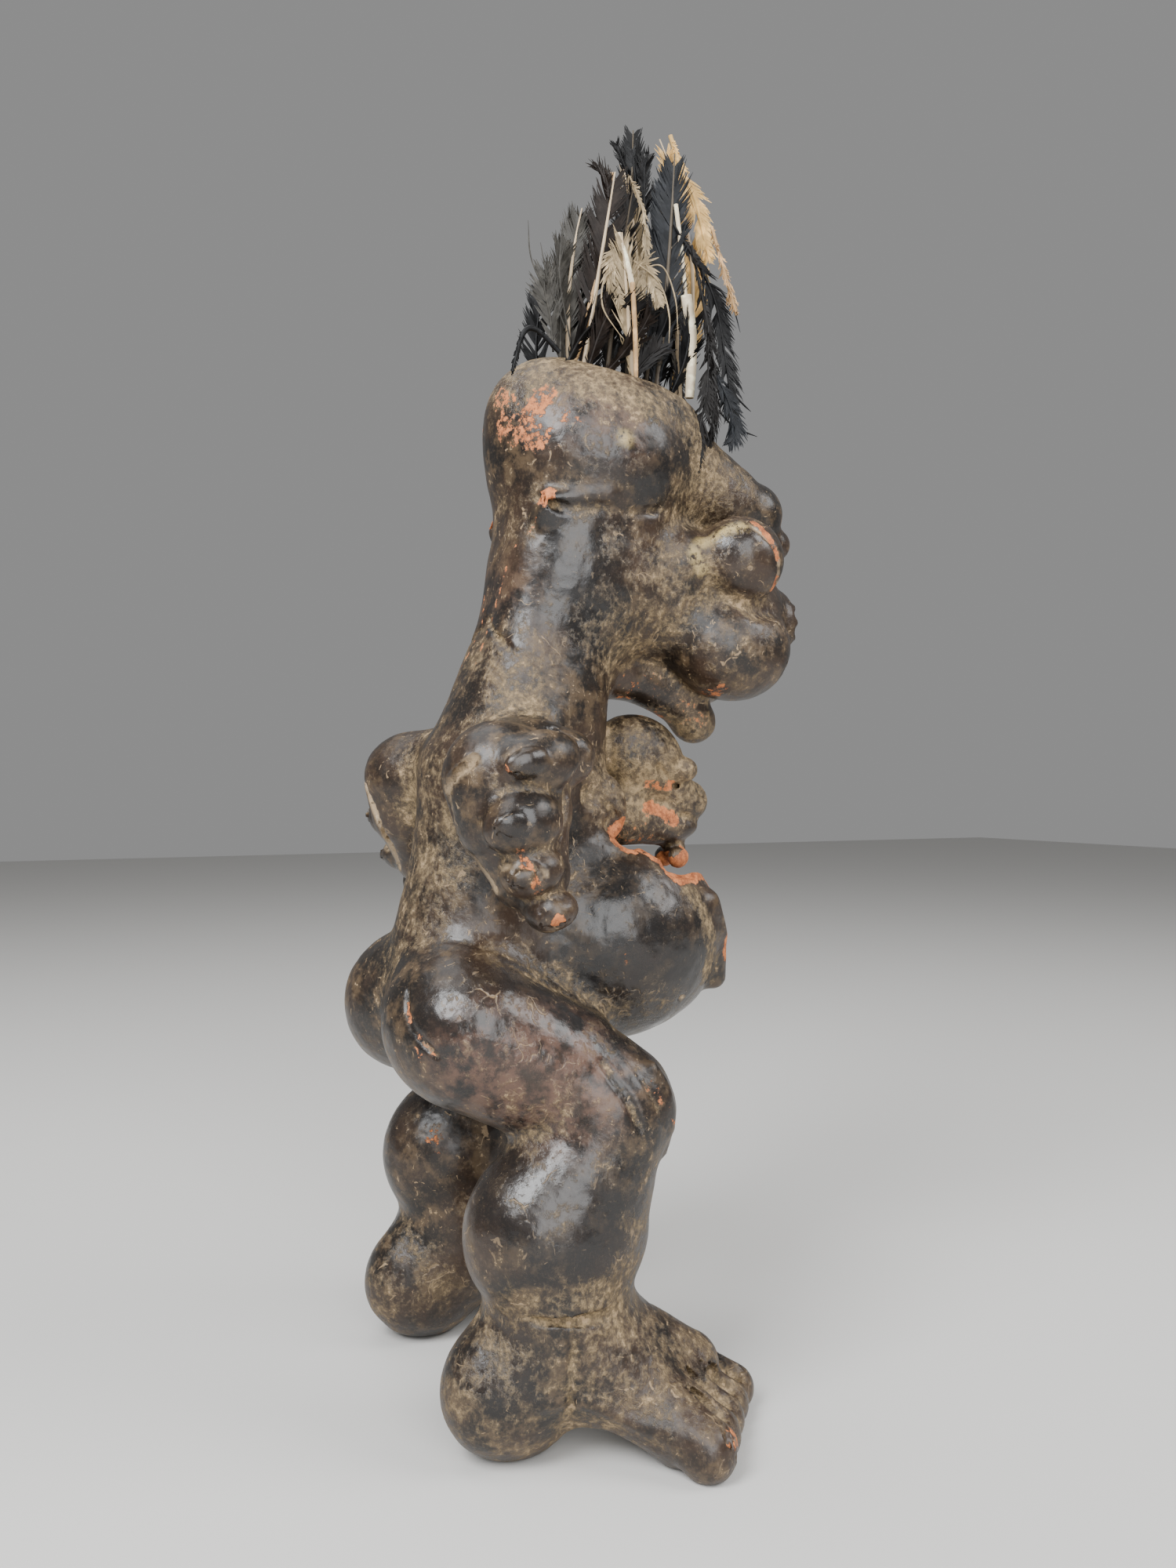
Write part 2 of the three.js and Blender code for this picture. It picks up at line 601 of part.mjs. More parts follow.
// The feathers, each in a lane of its own from left to right across the crown: where its
// quill stands on the pit's floor, and, as shares of the longest feather, how far it
// leans and rises, its width and how far its middle bows forward.
const FEATHERS = [
  { name: "feather-brown-near", lane: -10, front: -19, lean: 11, tall: 75, wide: 14, bow: 0 },
  { name: "feather-short-near", lane: -13, front: -0.5, lean: -7, tall: 53, wide: 11, bow: 0 },
  { name: "feather-dark-near", lane: -6, front: -8, lean: 10, tall: 76, wide: 13, bow: -1 },
  { name: "feather-grey-back", lane: -5, front: -20, lean: 3, tall: 64, wide: 12, bow: -3 },
  { name: "feather-cream", lane: -2, front: 5, lean: -4, tall: 83, wide: 12, bow: 4 },
  { name: "feather-grey-far", lane: 3, front: -19, lean: 5, tall: 68, wide: 13, bow: -3 },
  { name: "feather-black-tall", lane: 2, front: 4.5, lean: 3, tall: 101, wide: 13, bow: 0 },
  { name: "feather-black-far", lane: 9.5, front: 8, lean: 8, tall: 93, wide: 10, bow: 1 },
  { name: "feather-slate", lane: -8, front: 10.5, lean: 6, tall: 88, wide: 13, bow: 1 },
  { name: "feather-dark-front", lane: 6.5, front: 12.5, lean: 8, tall: 88, wide: 13, bow: 2 },
  { name: "feather-white-quill", lane: -4, front: 22.5, lean: -6, tall: 71, wide: 9, bow: 1 },
  { name: "feather-yellow-torn", lane: 0.5, front: 20, lean: -3, tall: 99, wide: 11, bow: 12 },
  { name: "feather-brown-front", lane: 4, front: 22, lean: 6, tall: 72, wide: 12, bow: 7 },
  { name: "feather-small-far", lane: 13, front: 2, lean: 6, tall: 72, wide: 11, bow: 1 },
];

// A feather's quill foot, and the curve that its shaft follows from the pit's floor up.
function quillOf({ lane, front }) {
  return new THREE.Vector3(lane * SHARE, PIT_MIDDLE.y - front * SHARE, pitFloor - SOCKET_DEPTH);
}

function shaftOf(feather) {
  const { lean, tall, bow } = feather;
  const start = quillOf(feather).setZ(pitFloor + 2);
  const top = pitFloor + tall * FEATHER_SHARE;
  const tip = new THREE.Vector3(start.x * 1.4, start.y - lean * FEATHER_SHARE, top);
  const elbow = start.clone().lerp(tip, 0.5).add(new THREE.Vector3(0, -2 * bow * FEATHER_SHARE, 0));
  return new THREE.QuadraticBezierCurve3(start, elbow, tip);
}

// A feather as one thin closed blade on a six-sided quill, broad from back to front.
function featherGeometry(feather) {
  const foot = quillOf(feather).add(new THREE.Vector3(0, 0, QUILL_CLEARANCE));
  const bend = shaftOf(feather);
  const wide = feather.wide * FEATHER_SHARE;
  const shares = [0, 0.14, 0.32, 0.55, 0.8, 1];
  const halfWidths = [0, 0.45, 1, 1, 0.85, 0.3].map((share) => Math.max(QUILL_RADIUS, (share * wide) / 2));
  const stations = [
    { place: foot, way: new THREE.Vector3(0, 0, 1), half: QUILL_RADIUS, thick: QUILL_RADIUS },
    ...shares.map((share, i) => ({
      place: bend.getPoint(share),
      way: i === 0 ? new THREE.Vector3(0, 0, 1) : bend.getTangent(share),
      half: halfWidths[i],
      thick: i === 0 ? QUILL_RADIUS : VANE_THICKNESS / 2,
    })),
  ];
  const sides = 6;
  const points = [];
  for (const { place, way, half, thick } of stations) {
    const broad = new THREE.Vector3(1, 0, 0).cross(way).normalize();
    const flat = way.clone().cross(broad).normalize();
    for (let side = 0; side < sides; side++) {
      const turn = (2 * Math.PI * side) / sides;
      const out = broad.clone().multiplyScalar(half * Math.cos(turn));
      points.push(out.addScaledVector(flat, thick * Math.sin(turn)).add(place));
    }
  }
  const triangles = [];
  for (let ring = 0; ring < stations.length - 1; ring++) {
    for (let side = 0; side < sides; side++) {
      const [a, b] = [ring * sides + side, ring * sides + ((side + 1) % sides)];
      triangles.push(a, b, a + sides, b, b + sides, a + sides);
    }
  }
  const top = points.length - sides;
  for (let side = 1; side < sides - 1; side++) {
    triangles.push(0, side + 1, side, top, top + side, top + side + 1);
  }
  return geometryOf({ points, triangles });
}

// The clay stands on soles cut flat by the floor, and its crown has a pit with a socket
// for each quill.
function clayBody() {
  const rough = thin(skinOf(gridOf(work)), CLAY_TRIANGLES);
  const room = 1200 * SHARE;
  const above = new THREE.BoxGeometry(room, room, room).translate(0, 0, room / 2);
  const pit = post(PIT_MIDDLE.clone().setZ(pitFloor), PIT_WIDTH, PIT_LENGTH, 60, 24);
  let clay = solidOf(geometryOf(rough)).intersect(solidOf(above)).subtract(solidOf(pit));
  const bore = 2 * (QUILL_RADIUS + QUILL_CLEARANCE);
  for (const feather of FEATHERS) {
    clay = clay.subtract(solidOf(post(quillOf(feather), bore, bore, SOCKET_DEPTH + 1, 6)));
  }
  return geometryFrom(clay);
}

const burnishedClay = new THREE.MeshStandardMaterial({ color: 0x3d3026, roughness: 0.38, metalness: 0 });
const FEATHER_COLOURS = {
  brown: 0x3a2a1e,
  dark: 0x211a16,
  grey: 0x6d6a66,
  cream: 0xcdbf9e,
  black: 0x141313,
  slate: 0x34373b,
  white: 0xe6dfcc,
  yellow: 0xcdb36f,
  short: 0xb9a988,
  small: 0x2c2622,
};

const object = new THREE.Group();
const figure = new THREE.Mesh(clayBody(), burnishedClay);
figure.name = "figure";
object.add(figure);
for (const feather of FEATHERS) {
  const tint = FEATHER_COLOURS[feather.name.split("-")[1]];
  const vane = new THREE.MeshStandardMaterial({ color: tint, roughness: 0.7, metalness: 0 });
  const mesh = new THREE.Mesh(featherGeometry(feather), vane);
  mesh.name = feather.name;
  object.add(mesh);
}

export default object;
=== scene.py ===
import math
from collections import namedtuple

import bpy
import numpy as np
from mathutils import Euler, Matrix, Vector


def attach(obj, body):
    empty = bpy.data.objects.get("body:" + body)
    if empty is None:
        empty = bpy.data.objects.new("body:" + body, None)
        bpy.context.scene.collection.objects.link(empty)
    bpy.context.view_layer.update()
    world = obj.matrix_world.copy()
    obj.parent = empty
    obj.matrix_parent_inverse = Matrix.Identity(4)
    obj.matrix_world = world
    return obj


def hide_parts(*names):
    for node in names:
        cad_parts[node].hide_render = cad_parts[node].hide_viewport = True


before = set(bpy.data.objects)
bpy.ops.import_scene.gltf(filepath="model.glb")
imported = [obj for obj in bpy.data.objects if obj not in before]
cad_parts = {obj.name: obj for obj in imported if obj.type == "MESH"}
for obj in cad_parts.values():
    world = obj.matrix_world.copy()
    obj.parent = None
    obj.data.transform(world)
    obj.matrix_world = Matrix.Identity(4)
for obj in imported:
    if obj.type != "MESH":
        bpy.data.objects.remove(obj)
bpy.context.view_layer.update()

bl_info = {
    "name": "Clay Figure with Feathers",
    "version": (1, 0, 0),
    "blender": (4, 5, 0),
    "location": "3D View > Sidebar > Clay Figure",
    "description": "Models a squatting fired-clay figure with feathers in its crown",
    "category": "Object",
}

MM = 0.001
SIDES = (-1, 1)

# The figure's main sizes, in millimetres

CENTRE_BACK = 2.5  # how far behind the frame's origin the clay places start
LEG_SPREAD = 44.0  # from the middle to each leg
SOLE_CUT = 1.6  # what the floor takes off the underside of the feet
BELLY_MIDDLE = (0, 5, 147)
BELLY_RADII = (41.0, 42.0, 37.0)
BELLY_WALL = 6.5
MOUTH_RADIUS = 10.5
PIT_HALF_LENGTH = 27.0  # the pit in the crown, in which the feathers stand
PIT_HALF_WIDTH = 19.0
PIT_FRONT = 11.5  # the pit's middle
PIT_FLOOR = 329.0
QUILL_DEPTH = 4.6  # how far a quill goes into the pit's floor
BARE_QUILL = 6.6  # the straight stretch of a quill below its vane


# Places and clay shapes, in millimetres

def at(left, front, up):
    """A place on the figure: to its left, to its front, and up from the floor."""
    return np.array([left, CENTRE_BACK - front, up], dtype=float)


def places(*points):
    """The same for several points."""
    return [at(*point) for point in points]


def mirrored(path, side):
    """A path of the left side, on the wanted side."""
    return [(side * left, front, up) for left, front, up in path]


def box_around(points, reach):
    """The corners of a box that holds the points and a reach about them."""
    points = np.asarray(points)
    return points.min(axis=0) - reach, points.max(axis=0) + reach


def lump(centre, radii, angles=(0, 0, 0)):
    """An egg-shaped lump of clay, turned by degrees about left, front and up."""
    centre = at(*centre)
    turn = np.array(Euler([math.radians(a) for a in angles]).to_matrix())
    wide, long, tall = radii

    def distance(x, y, z):
        dx = x - centre[0]
        dy = y - centre[1]
        dz = z - centre[2]
        u = (turn[0][0] * dx + turn[1][0] * dy + turn[2][0] * dz) / wide
        v = (turn[0][1] * dx + turn[1][1] * dy + turn[2][1] * dz) / long
        w = (turn[0][2] * dx + turn[1][2] * dy + turn[2][2] * dz) / tall
        depth = np.sqrt(u * u + v * v + w * w)
        slope = np.sqrt((u / wide) ** 2 + (v / long) ** 2 + (w / tall) ** 2)
        return depth * (depth - 1) / np.maximum(slope, 1e-6)

    return distance, box_around([centre], max(radii))


def roll_of(points, radii):
    """A roll of clay through places in the frame, with a radius at each of them."""
    points = [np.asarray(point, dtype=float) for point in points]

    def distance(x, y, z):
        least = None
        for i in range(len(points) - 1):
            start = points[i]
            way = points[i + 1] - start
            dx = x - start[0]
            dy = y - start[1]
            dz = z - start[2]
            share = np.clip((dx * way[0] + dy * way[1] + dz * way[2]) / way.dot(way), 0, 1)
            ex = dx - way[0] * share
            ey = dy - way[1] * share
            ez = dz - way[2] * share
            radius = radii[i] + (radii[i + 1] - radii[i]) * share
            away = np.sqrt(ex * ex + ey * ey + ez * ez) - radius
            least = away if least is None else np.minimum(least, away)
        return least

    return distance, box_around(points, max(radii))


def roll(points, radii):
    """A straight-sided roll of clay through places on the figure."""
    return roll_of(places(*points), radii)


def smooth_path(points, steps):
    """Points on a smooth curve through the given ones."""
    points = np.asarray(points, dtype=float)
    ends = np.vstack([2 * points[0] - points[1], points, 2 * points[-1] - points[-2]])
    path = []
    for i in range(len(points) - 1):
        a, b, c, d = ends[i], ends[i + 1], ends[i + 2], ends[i + 3]
        for step in range(steps):
            t = step / steps
            bend = (2 * a - 5 * b + 4 * c - d) * t**2
            swing = (3 * b - a - 3 * c + d) * t**3
            path.append(0.5 * (2 * b + (c - a) * t + bend + swing))
    path.append(points[-1])
    return path


def curl(points, radii, steps=4):
    """A roll that runs smoothly through its places."""
    path = smooth_path(places(*points), steps)
    shares = np.linspace(0, len(radii) - 1, len(path))
    return roll_of(path, np.interp(shares, range(len(radii)), radii))


def ring(centre, axis, radius, thick):
    """A ring of clay about an axis."""
    centre = at(*centre)

    def distance(x, y, z):
        dx = x - centre[0]
        dy = y - centre[1]
        dz = z - centre[2]
        along = dx * axis[0] + dy * axis[1] + dz * axis[2]
        across = np.sqrt(np.maximum(0, dx * dx + dy * dy + dz * dz - along * along))
        return np.hypot(across - radius, along) - thick

    return distance, box_around([centre], radius + thick)


# The sculpting steps

class Sculpture:
    """The list of steps: clay is added or a hollow pressed in, over a blend width."""

    def __init__(self):
        self.steps = []

    def add(self, blend, *shapes):
        """Put clay on."""
        self.steps += [(shape, blend, 1) for shape in shapes]

    def press(self, blend, *shapes):
        """Press or cut a hollow."""
        self.steps += [(shape, blend, -1) for shape in shapes]


def torso(clay):
    """The trunk, shoulders, chest and belly."""
    clay.add(1, roll([(0, -24, 222), (0, -31, 196), (0, -36, 160), (0, -40, 132)], [23, 27, 29, 32]))
    clay.add(14, roll([(-30, -38, 203), (30, -38, 203)], [16, 16]))
    clay.add(14, lump((0, -10, 190), (21, 15, 26)))
    clay.add(12, lump(BELLY_MIDDLE, BELLY_RADII))


def neck(clay):
    """The neck, with a sinew down each side."""
    clay.add(12, roll([(0, -4, 292), (0, -10, 256), (0, -21, 222)], [24, 22.5, 23]))
    sinew = [(9, -15, 290), (9, -22.5, 254), (12, -30, 216)]
    for side in SIDES:
        clay.add(8, roll(mirrored(sinew, side), [11, 13, 15]))


def head(clay):
    """The skull, brow, cheeks, drum eyes and ears."""
    clay.add(9, lump((0, 0, 308), (35.5, 35.5, 34), (4, 0, 0)))
    clay.add(8, lump((0, -16, 321), (21, 20.5, 20)))
    clay.add(10, lump((0, 16, 322), (24, 24, 13)))
    clay.press(5, lump((0, 18, 346), (46, 30, 13.5)))
    clay.add(16, roll([(0, -4, 272), (0, 24, 264), (0, 50, 256)], [24, 24, 20]))
    clay.add(10, roll([(0, 26, 311), (0, 52, 300), (0, 62, 296)], [20, 16, 13]))
    clay.add(5, lump((0, 65, 296.5), (13.5, 12, 11)))
    clay.add(3, roll([(0, 66, 290), (0, 76, 287)], [6, 6.5]))
    brow_line = [(27, 36, 287), (20, 46, 291), (14, 62, 290)]
    cheek_line = [(30, 40, 262), (31, 50, 258.5), (20, 66, 260)]
    for side in SIDES:
        clay.press(5, lump((side * 38, 7, 280), (8, 21, 10), (0, 0, side * 10)))
        clay.add(6, roll([(side * 16, 28, 274), (side * 17, 44, 275)], [11, 11.5]))
        clay.press(3, curl(mirrored(brow_line, side), [1, 1.8, 2.3]))
        clay.add(9, lump((side * 15, 49, 245.5), (17.5, 22, 18.5)))
        clay.press(3, curl(mirrored(cheek_line, side), [1.5, 4, 3.2]))
        clay.add(2.5, lump((side * 22.5, 47.5, 275.5), (14.5, 16, 15)))
        eye_axis = Vector((side * 3.5, -20, 1)).normalized()
        clay.add(1, ring((side * 21, 57, 276), eye_axis, 10.3, 2.5))
        clay.add(4, lump((side * 21, -22, 286.5), (4, 7, 5.5)))


def mouth(clay):
    """The round mouth at the muzzle's end."""
    clay.add(6, lump((0, 60, 257), (18.5, 19, 22)))
    lip_line = [(20, 65, 267), (18, 71, 257), (11, 74, 243)]
    for side in SIDES:
        clay.press(2, curl(mirrored(lip_line, side), [1.6, 2, 1.5]))
    clay.add(2.5, ring((0, 75.2, 257), (0, -1, 0), MOUTH_RADIUS, 3.2))
    clay.press(2, lump((0, 78.5, 257), (7.5, 7, 7.5)))


def throat(clay):
    """The tongue of clay that hangs below the muzzle."""
    clay.add(5, curl([(2, 7, 236), (2, 21, 234.5), (2, 36, 228.5), (2, 43, 221)], [8, 8.5, 9, 8.5]))


# Fingers and nails of a hand: left, front, up, length and height

FINGERS = [
    (59, -43, 204, 13.5, 9.5),
    (62, -49, 187, 12, 9.5),
    (62, -46, 173, 10, 7.5),
    (61, -40, 162, 8, 6.5),
]
NAILS = [
    (69, -50, 204, 7, 4.5),
    (70, -55, 187, 6, 4.5),
    (69, -51, 172, 5.5, 4),
    (67, -42, 160, 5, 3),
]


def arm(clay, side):
    """One short arm with its paw."""
    palm = [(side * 45, -50, 200), (side * 46, -46, 190), (side * 50, -42, 172), (side * 54, -38, 160)]
    clay.add(9, roll(palm, [17, 18, 12, 6]))
    clay.add(5, roll([(side * 40, -32, 208), (side * 48, -29, 206)], [9, 8.5]))
    for left, front, up, long, tall in FINGERS:
        clay.add(2.2, lump((side * left, front, up), (9, long, tall), (-14, 0, 0)))
    clay.press(3, curl([(side * 60, -29, 205), (side * 62, -31, 188), (side * 62, -33, 172)], [3.5, 4, 3]))


def leg(clay, side):
    """One bent leg: buttock, thigh, knee folds and calf."""
    out = side * LEG_SPREAD
    clay.add(9, lump((side * 21, -56, 125), (21.5, 22.5, 23)))
    clay.add(9, roll([(side * 31, -52, 122), (side * 37, -26, 108), (out, -13.5, 99)], [23, 22, 19.5]))
    clay.add(6, roll([(out, -14, 98), (out + side, -20, 84)], [19.5, 20.5]))
    clay.add(8, lump((out, -31, 64), (23.5, 29, 28)))
    clay.add(3, roll([(out, -31, 46), (out, -30, 34)], [22.5, 23]))
    for fold in range(4):
        across = out + 6 * (fold - 1.5)
        clay.add(2, curl([(across, -3.5, 110), (across, 2, 99), (across, 0, 86)], [2.5, 2.8, 2]))


def foot(clay, side):
    """One foot: heel, instep, arch and toes."""
    out = LEG_SPREAD
    clay.add(7, lump((side * (out - 1), -44, 22 - SOLE_CUT), (17.5, 23, 22)))
    clay.add(9, roll([(side * (out + 1), -18, 29), (side * (out + 7), 10, 18)], [16.5, 10.5]))
    clay.add(9, roll([(side * (out + 12), -18, 22), (side * (out + 24), -2, 12 - SOLE_CUT)], [14, 12]))
    clay.press(8, roll([(side * (out - 1), -18, -6), (side * (out + 28), -26, -6)], [9, 12]))
    for toe in range(5):
        outward = toe / 4
        thick = 7.6 + 1.6 * outward**2
        root = (side * (out + 3 + 19 * outward), 3 - 12 * outward, 23 - 6 * outward)
        tip = (side * (out + 5 + 30 * outward), 27 - 26 * outward, thick - SOLE_CUT)
        clay.add(1.2, roll([root, tip], [thick, thick]))


def broken_belly(clay):
    """The belly's hollow, its thickened sides and its broken edge."""
    clay.press(2, lump(BELLY_MIDDLE, [radius - BELLY_WALL for radius in BELLY_RADII]))
    for side in SIDES:
        clay.add(3, roll([(side * 26, 31.5, 158), (side * 21, 38, 146), (side * 19, 38.5, 132)], [5, 5, 5]))
    for shape in belly_break():
        clay.press(1, shape)
    for place, radii in belly_chips():
        clay.press(1, lump(place, radii))


def belly_break():
    """The two bites that open the belly, from above and from the front."""
    return [
        lump((0, 24, 186.5), (37, 23, 24), (-25, 0, 0)),
        lump((0, 45, 150), (18, 20, 26), (-8, 0, 0)),
    ]


def belly_chips():
    """Where the belly's broken edge is chipped: outward from the break until clay is met."""
    # The way that the break faces, and along and across it
    facing = np.array([0, 0.819, 0.574])
    along = np.array([0, -0.574, 0.819])
    across = np.array([1.0, 0, 0])
    chips = 19
    found = []
    for chip in range(chips):
        turn = 2 * math.pi * (chip + 0.4 * math.sin(3 * chip)) / chips
        for step in range(60):
            tilt = 0.04 * step
            way = math.cos(tilt) * facing
            way = way + math.sin(tilt) * (math.cos(turn) * along + math.sin(turn) * across)
            place = np.array(BELLY_MIDDLE) + way * BELLY_RADII
            x, y, z = at(*place)
            if min(distance(x, y, z) for distance, box in belly_break()) > 0:
                break
        found.append((tuple(place), (3.5 + chip % 3, 4 + chip % 2, 3.5 + (chip * 2) % 3)))
    return found


def child(clay):
    """The second head at the chest, with its small arms."""
    clay.add(4, roll([(0, -4, 184), (0, 12, 190), (0, 18, 200)], [9, 8, 9]))
    clay.add(3, lump((0, 19, 208.5), (13.5, 17, 14), (20, 0, 0)))
    clay.add(4, roll([(0, 26, 202), (0, 36, 192)], [11, 8]))
    clay.add(1.5, lump((0, 40, 192), (6.5, 7, 7.5)))
    clay.add(3, roll([(0, 12, 186), (0, 28, 185)], [10, 8]))
    clay.add(2, lump((0, 31, 182), (8, 12, 5.5), (-8, 0, 0)))
    clay.add(2, lump((0, 34, 175), (4, 4.5, 4)))
    for side in SIDES:
        clay.add(1.5, lump((side * 9, 33, 203), (4.5, 5, 4.5)))
        clay.add(2, lump((side * 15, -2, 190), (6, 9, 12)))
        clay.add(2, curl([(side * 18, -12, 178), (side * 20, -3, 174), (side * 18, 8, 170)], [5, 5.5, 4.5]))


# Lines cut into the clay on both sides, as paths, each with the width of its tool

SCORED = [
    ([(56, -62, 205), (46, -66, 196), (43, -60, 182), (50, -53, 168)], 1.5),
    ([(34, 44, 286), (36, 53, 279), (34, 57, 271), (28, 58, 265)], 0.9),
    ([(71, -46, 173), (70, -50, 176), (66, -55, 176), (58, -55, 174)], 0.9),
    ([(67, -61, 188), (70, -58, 194), (72, -51, 194), (72, -45, 190)], 0.9),
    ([(70, -55, 209), (71, -47, 212), (69, -40, 210)], 0.8),
    ([(26, 60, 254), (27, 62, 246), (22, 66, 238)], 0.8),
    ([(28, 14, 132), (33, 22, 126), (30, 32, 124)], 0.7),
]
CREASES = [
    ([(18, -30, 291), (27, -20, 286), (30, -10, 286), (30, 2, 286), (27, 14, 288)], 2.2),
    ([(22, -30, 276), (19, -35, 262), (22, -35, 246), (29, -34, 228)], 1.2),
    ([(-2, -37, 254), (20, -37, 241), (27, -25, 236)], 0.9),
    ([(66, -38, 46), (66, -35, 38), (66, -36, 28), (63, -35, 18)], 1.3),
    ([(60, -48, 46), (66, -28, 45), (62, -14, 46)], 1.6),
    ([(57, -22, 116), (63, -17, 107), (65, -13, 97)], 1.3),
    ([(57, -13, 117), (63, -8, 107), (63, -3, 95)], 1.3),
    ([(31, -73, 137), (38, -75, 128), (46, -69, 120)], 1.0),
    ([(24, -60, 151), (33, -48, 149), (36, -32, 141), (41, -21, 132)], 1.6),
    ([(46, -34, 214), (56, -32, 204), (60, -36, 184), (69, -39, 166)], 2.0),
    ([(27, 44, 259), (31, 50, 257), (29, 57, 259)], 1.2),
    ([(24, -10, 200), (21, -3, 192), (18, 4, 184)], 1.3),
]
RIDGES = [
    ([(60, -44, 22), (65, -31, 22), (70, -21, 17), (77, -10, 13)], 1.2),
    ([(23, -25, 289), (26, -16, 290), (29, -6, 291)], 1.6),
    ([(57, -5, 113), (58, -1, 104), (57, 0, 94)], 1.2),
]


def carving(clay, side):
    """The fine work that stays on the surface: lines, nails, toe grooves and teeth."""
    for path, width in RIDGES:
        clay.add(4, curl(mirrored(path, side), [width]))
    for path, width in CREASES:
        clay.press(1.2, curl(mirrored(path, side), [0.6 * width, width, 0.7 * width]))
    for path, width in SCORED:
        clay.press(0.5, curl(mirrored(path, side), [width]))
    for left, front, up, long, tall in NAILS:
        axis = Vector((side * 0.93, 0.35, 0.05)).normalized()
        clay.add(0.6, lump((side * (left - 2), front, up), (3, long, tall), (-14, 0, 0)))
        clay.press(0.5, ring((side * (left - 0.5), front, up), axis, tall, 0.8))
    for toe in range(4):
        outward = (toe + 0.5) / 4
        groove = [
            (side * (46 + 17 * outward), -2 - 11 * outward, 32 - 6 * outward),
            (side * (48 + 25 * outward), 15 - 19 * outward, 22.5 - 3 * outward),
            (side * (49.5 + 30.5 * outward), 29.5 - 26 * outward, 12.5 + 3 * outward),
        ]
        clay.press(0.8, curl(groove, [1.5, 2.5, 2.9]))
    nail_axis = Vector((side * 0.75, -0.6, 0.3)).normalized()
    clay.press(0.6, ring((side * 83, 7, 11), nail_axis, 4.2, 0.9))
    for tooth in range(5):
        turn = math.radians(-60 + 30 * tooth)
        place = (side * MOUTH_RADIUS * math.cos(turn), 77.5, 257 + MOUTH_RADIUS * math.sin(turn))
        clay.add(0.6, lump(place, (2.4, 2.2, 2.2)))


def child_carving(clay):
    """The second head's mouth, eyes and hair, and dents beside its arms."""
    mouth_line = [(11, 17, 190), (9.5, 27, 187.5), (6, 36, 187)]
    eye_line = [(12, 21, 204), (11, 27, 198), (6, 33, 197)]
    for side in SIDES:
        clay.press(0.5, curl(mirrored(mouth_line, side), [0.9, 1.3, 0.9]))
        clay.press(0.5, curl(mirrored(eye_line, side), [1, 1.2, 0.8]))
        clay.press(0.5, ring((side * 4.5, 43, 195), (side * 0.9, -0.4, 0.3), 2, 0.7))
        for curl_number in range(3):
            front = 22 + 5 * curl_number
            clay.add(0.8, lump((side * (11 - curl_number), front, 211 - 3 * curl_number), (3, 3, 3)))
        clay.press(0.8, lump((side * 24, -8, 194), (3, 6, 5)))
        clay.press(0.8, lump((side * 21, 1, 185), (3, 5, 4)))
        clay.add(1, lump((side * 5, 33, 172), (3.5, 4, 4)))


def sculpture():
    """All the figure's clay steps in the order of work."""
    clay = Sculpture()
    torso(clay)
    neck(clay)
    head(clay)
    mouth(clay)
    throat(clay)
    for side in SIDES:
        arm(clay, side)
        leg(clay, side)
        foot(clay, side)
    broken_belly(clay)
    child(clay)
    for side in SIDES:
        carving(clay, side)
    child_carving(clay)
    return clay


# The clay on a grid of distances

class Grid:
    """Distances to the clay's surface, negative inside."""

    def __init__(self, low, high, cell):
        self.low = np.asarray(low, dtype=float)
        self.cell = cell
        self.shape = tuple(np.ceil((np.asarray(high) - self.low) / cell).astype(int) + 1)
        self.values = np.full(self.shape, 1000.0, dtype=np.float32)

    def window(self, low, high):
        """The part of the grid round a box, with the places of its points."""
        first = np.maximum(np.floor((low - self.low) / self.cell).astype(int), 0)
        last = np.minimum(np.ceil((high - self.low) / self.cell).astype(int) + 1, self.shape)
        part = tuple(slice(a, b) for a, b in zip(first, last))
        axes = [self.low[n] + self.cell * np.arange(first[n], last[n]) for n in range(3)]
        x = axes[0][:, None, None]
        y = axes[1][None, :, None]
        z = axes[2][None, None, :]
        return part, x, y, z

    def work(self, shape, blend, sign):
        """Add or press one shape, with a smooth join as wide as the blend."""
        distance, (low, high) = shape
        reach = blend + 2 * self.cell
        part, x, y, z = self.window(low - reach, high + reach)
        values = sign * self.values[part]
        away = distance(x, y, z).astype(np.float32)
        near = np.maximum(blend - np.abs(values - away), 0)
        self.values[part] = sign * (np.minimum(values, away) - near * near / (4 * blend))

    def sample(self, array, points):
        """The array's values at points, run smoothly between grid points."""
        spot = (points - self.low) / self.cell
        base = np.clip(np.floor(spot).astype(int), 0, np.array(self.shape) - 2)
        share = np.clip(spot - base, 0, 1)
        total = np.zeros(len(points))
        for corner in range(8):
            step = np.array([corner & 1, corner >> 1 & 1, corner >> 2 & 1])
            weight = np.prod(np.where(step == 1, share, 1 - share), axis=1)
            i, j, k = (base + step).T
            total += weight * array[i, j, k]
        return total


def clay_grid(cell):
    """The finished clay with the crown's pit, cut level at the floor."""
    clay = sculpture()
    low = np.array([-92.0, -86.0, -SOLE_CUT - 2.5 * cell])
    high = np.array([92.0, 88.0, 348.0])
    grid = Grid(low, high, cell)
    for shape, blend, sign in clay.steps:
        grid.work(shape, blend, sign)
    part, x, y, z = grid.window(grid.low, high)
    middle = at(0, PIT_FRONT, 0)
    away = np.sqrt((x / PIT_HALF_WIDTH) ** 2 + ((y - middle[1]) / PIT_HALF_LENGTH) ** 2) - 1
    pit = np.maximum(away * PIT_HALF_WIDTH, PIT_FLOOR - z)
    grid.values = np.maximum(grid.values, -pit).astype(np.float32)
    grid.values = np.maximum(grid.values, -z).astype(np.float32)
    return grid


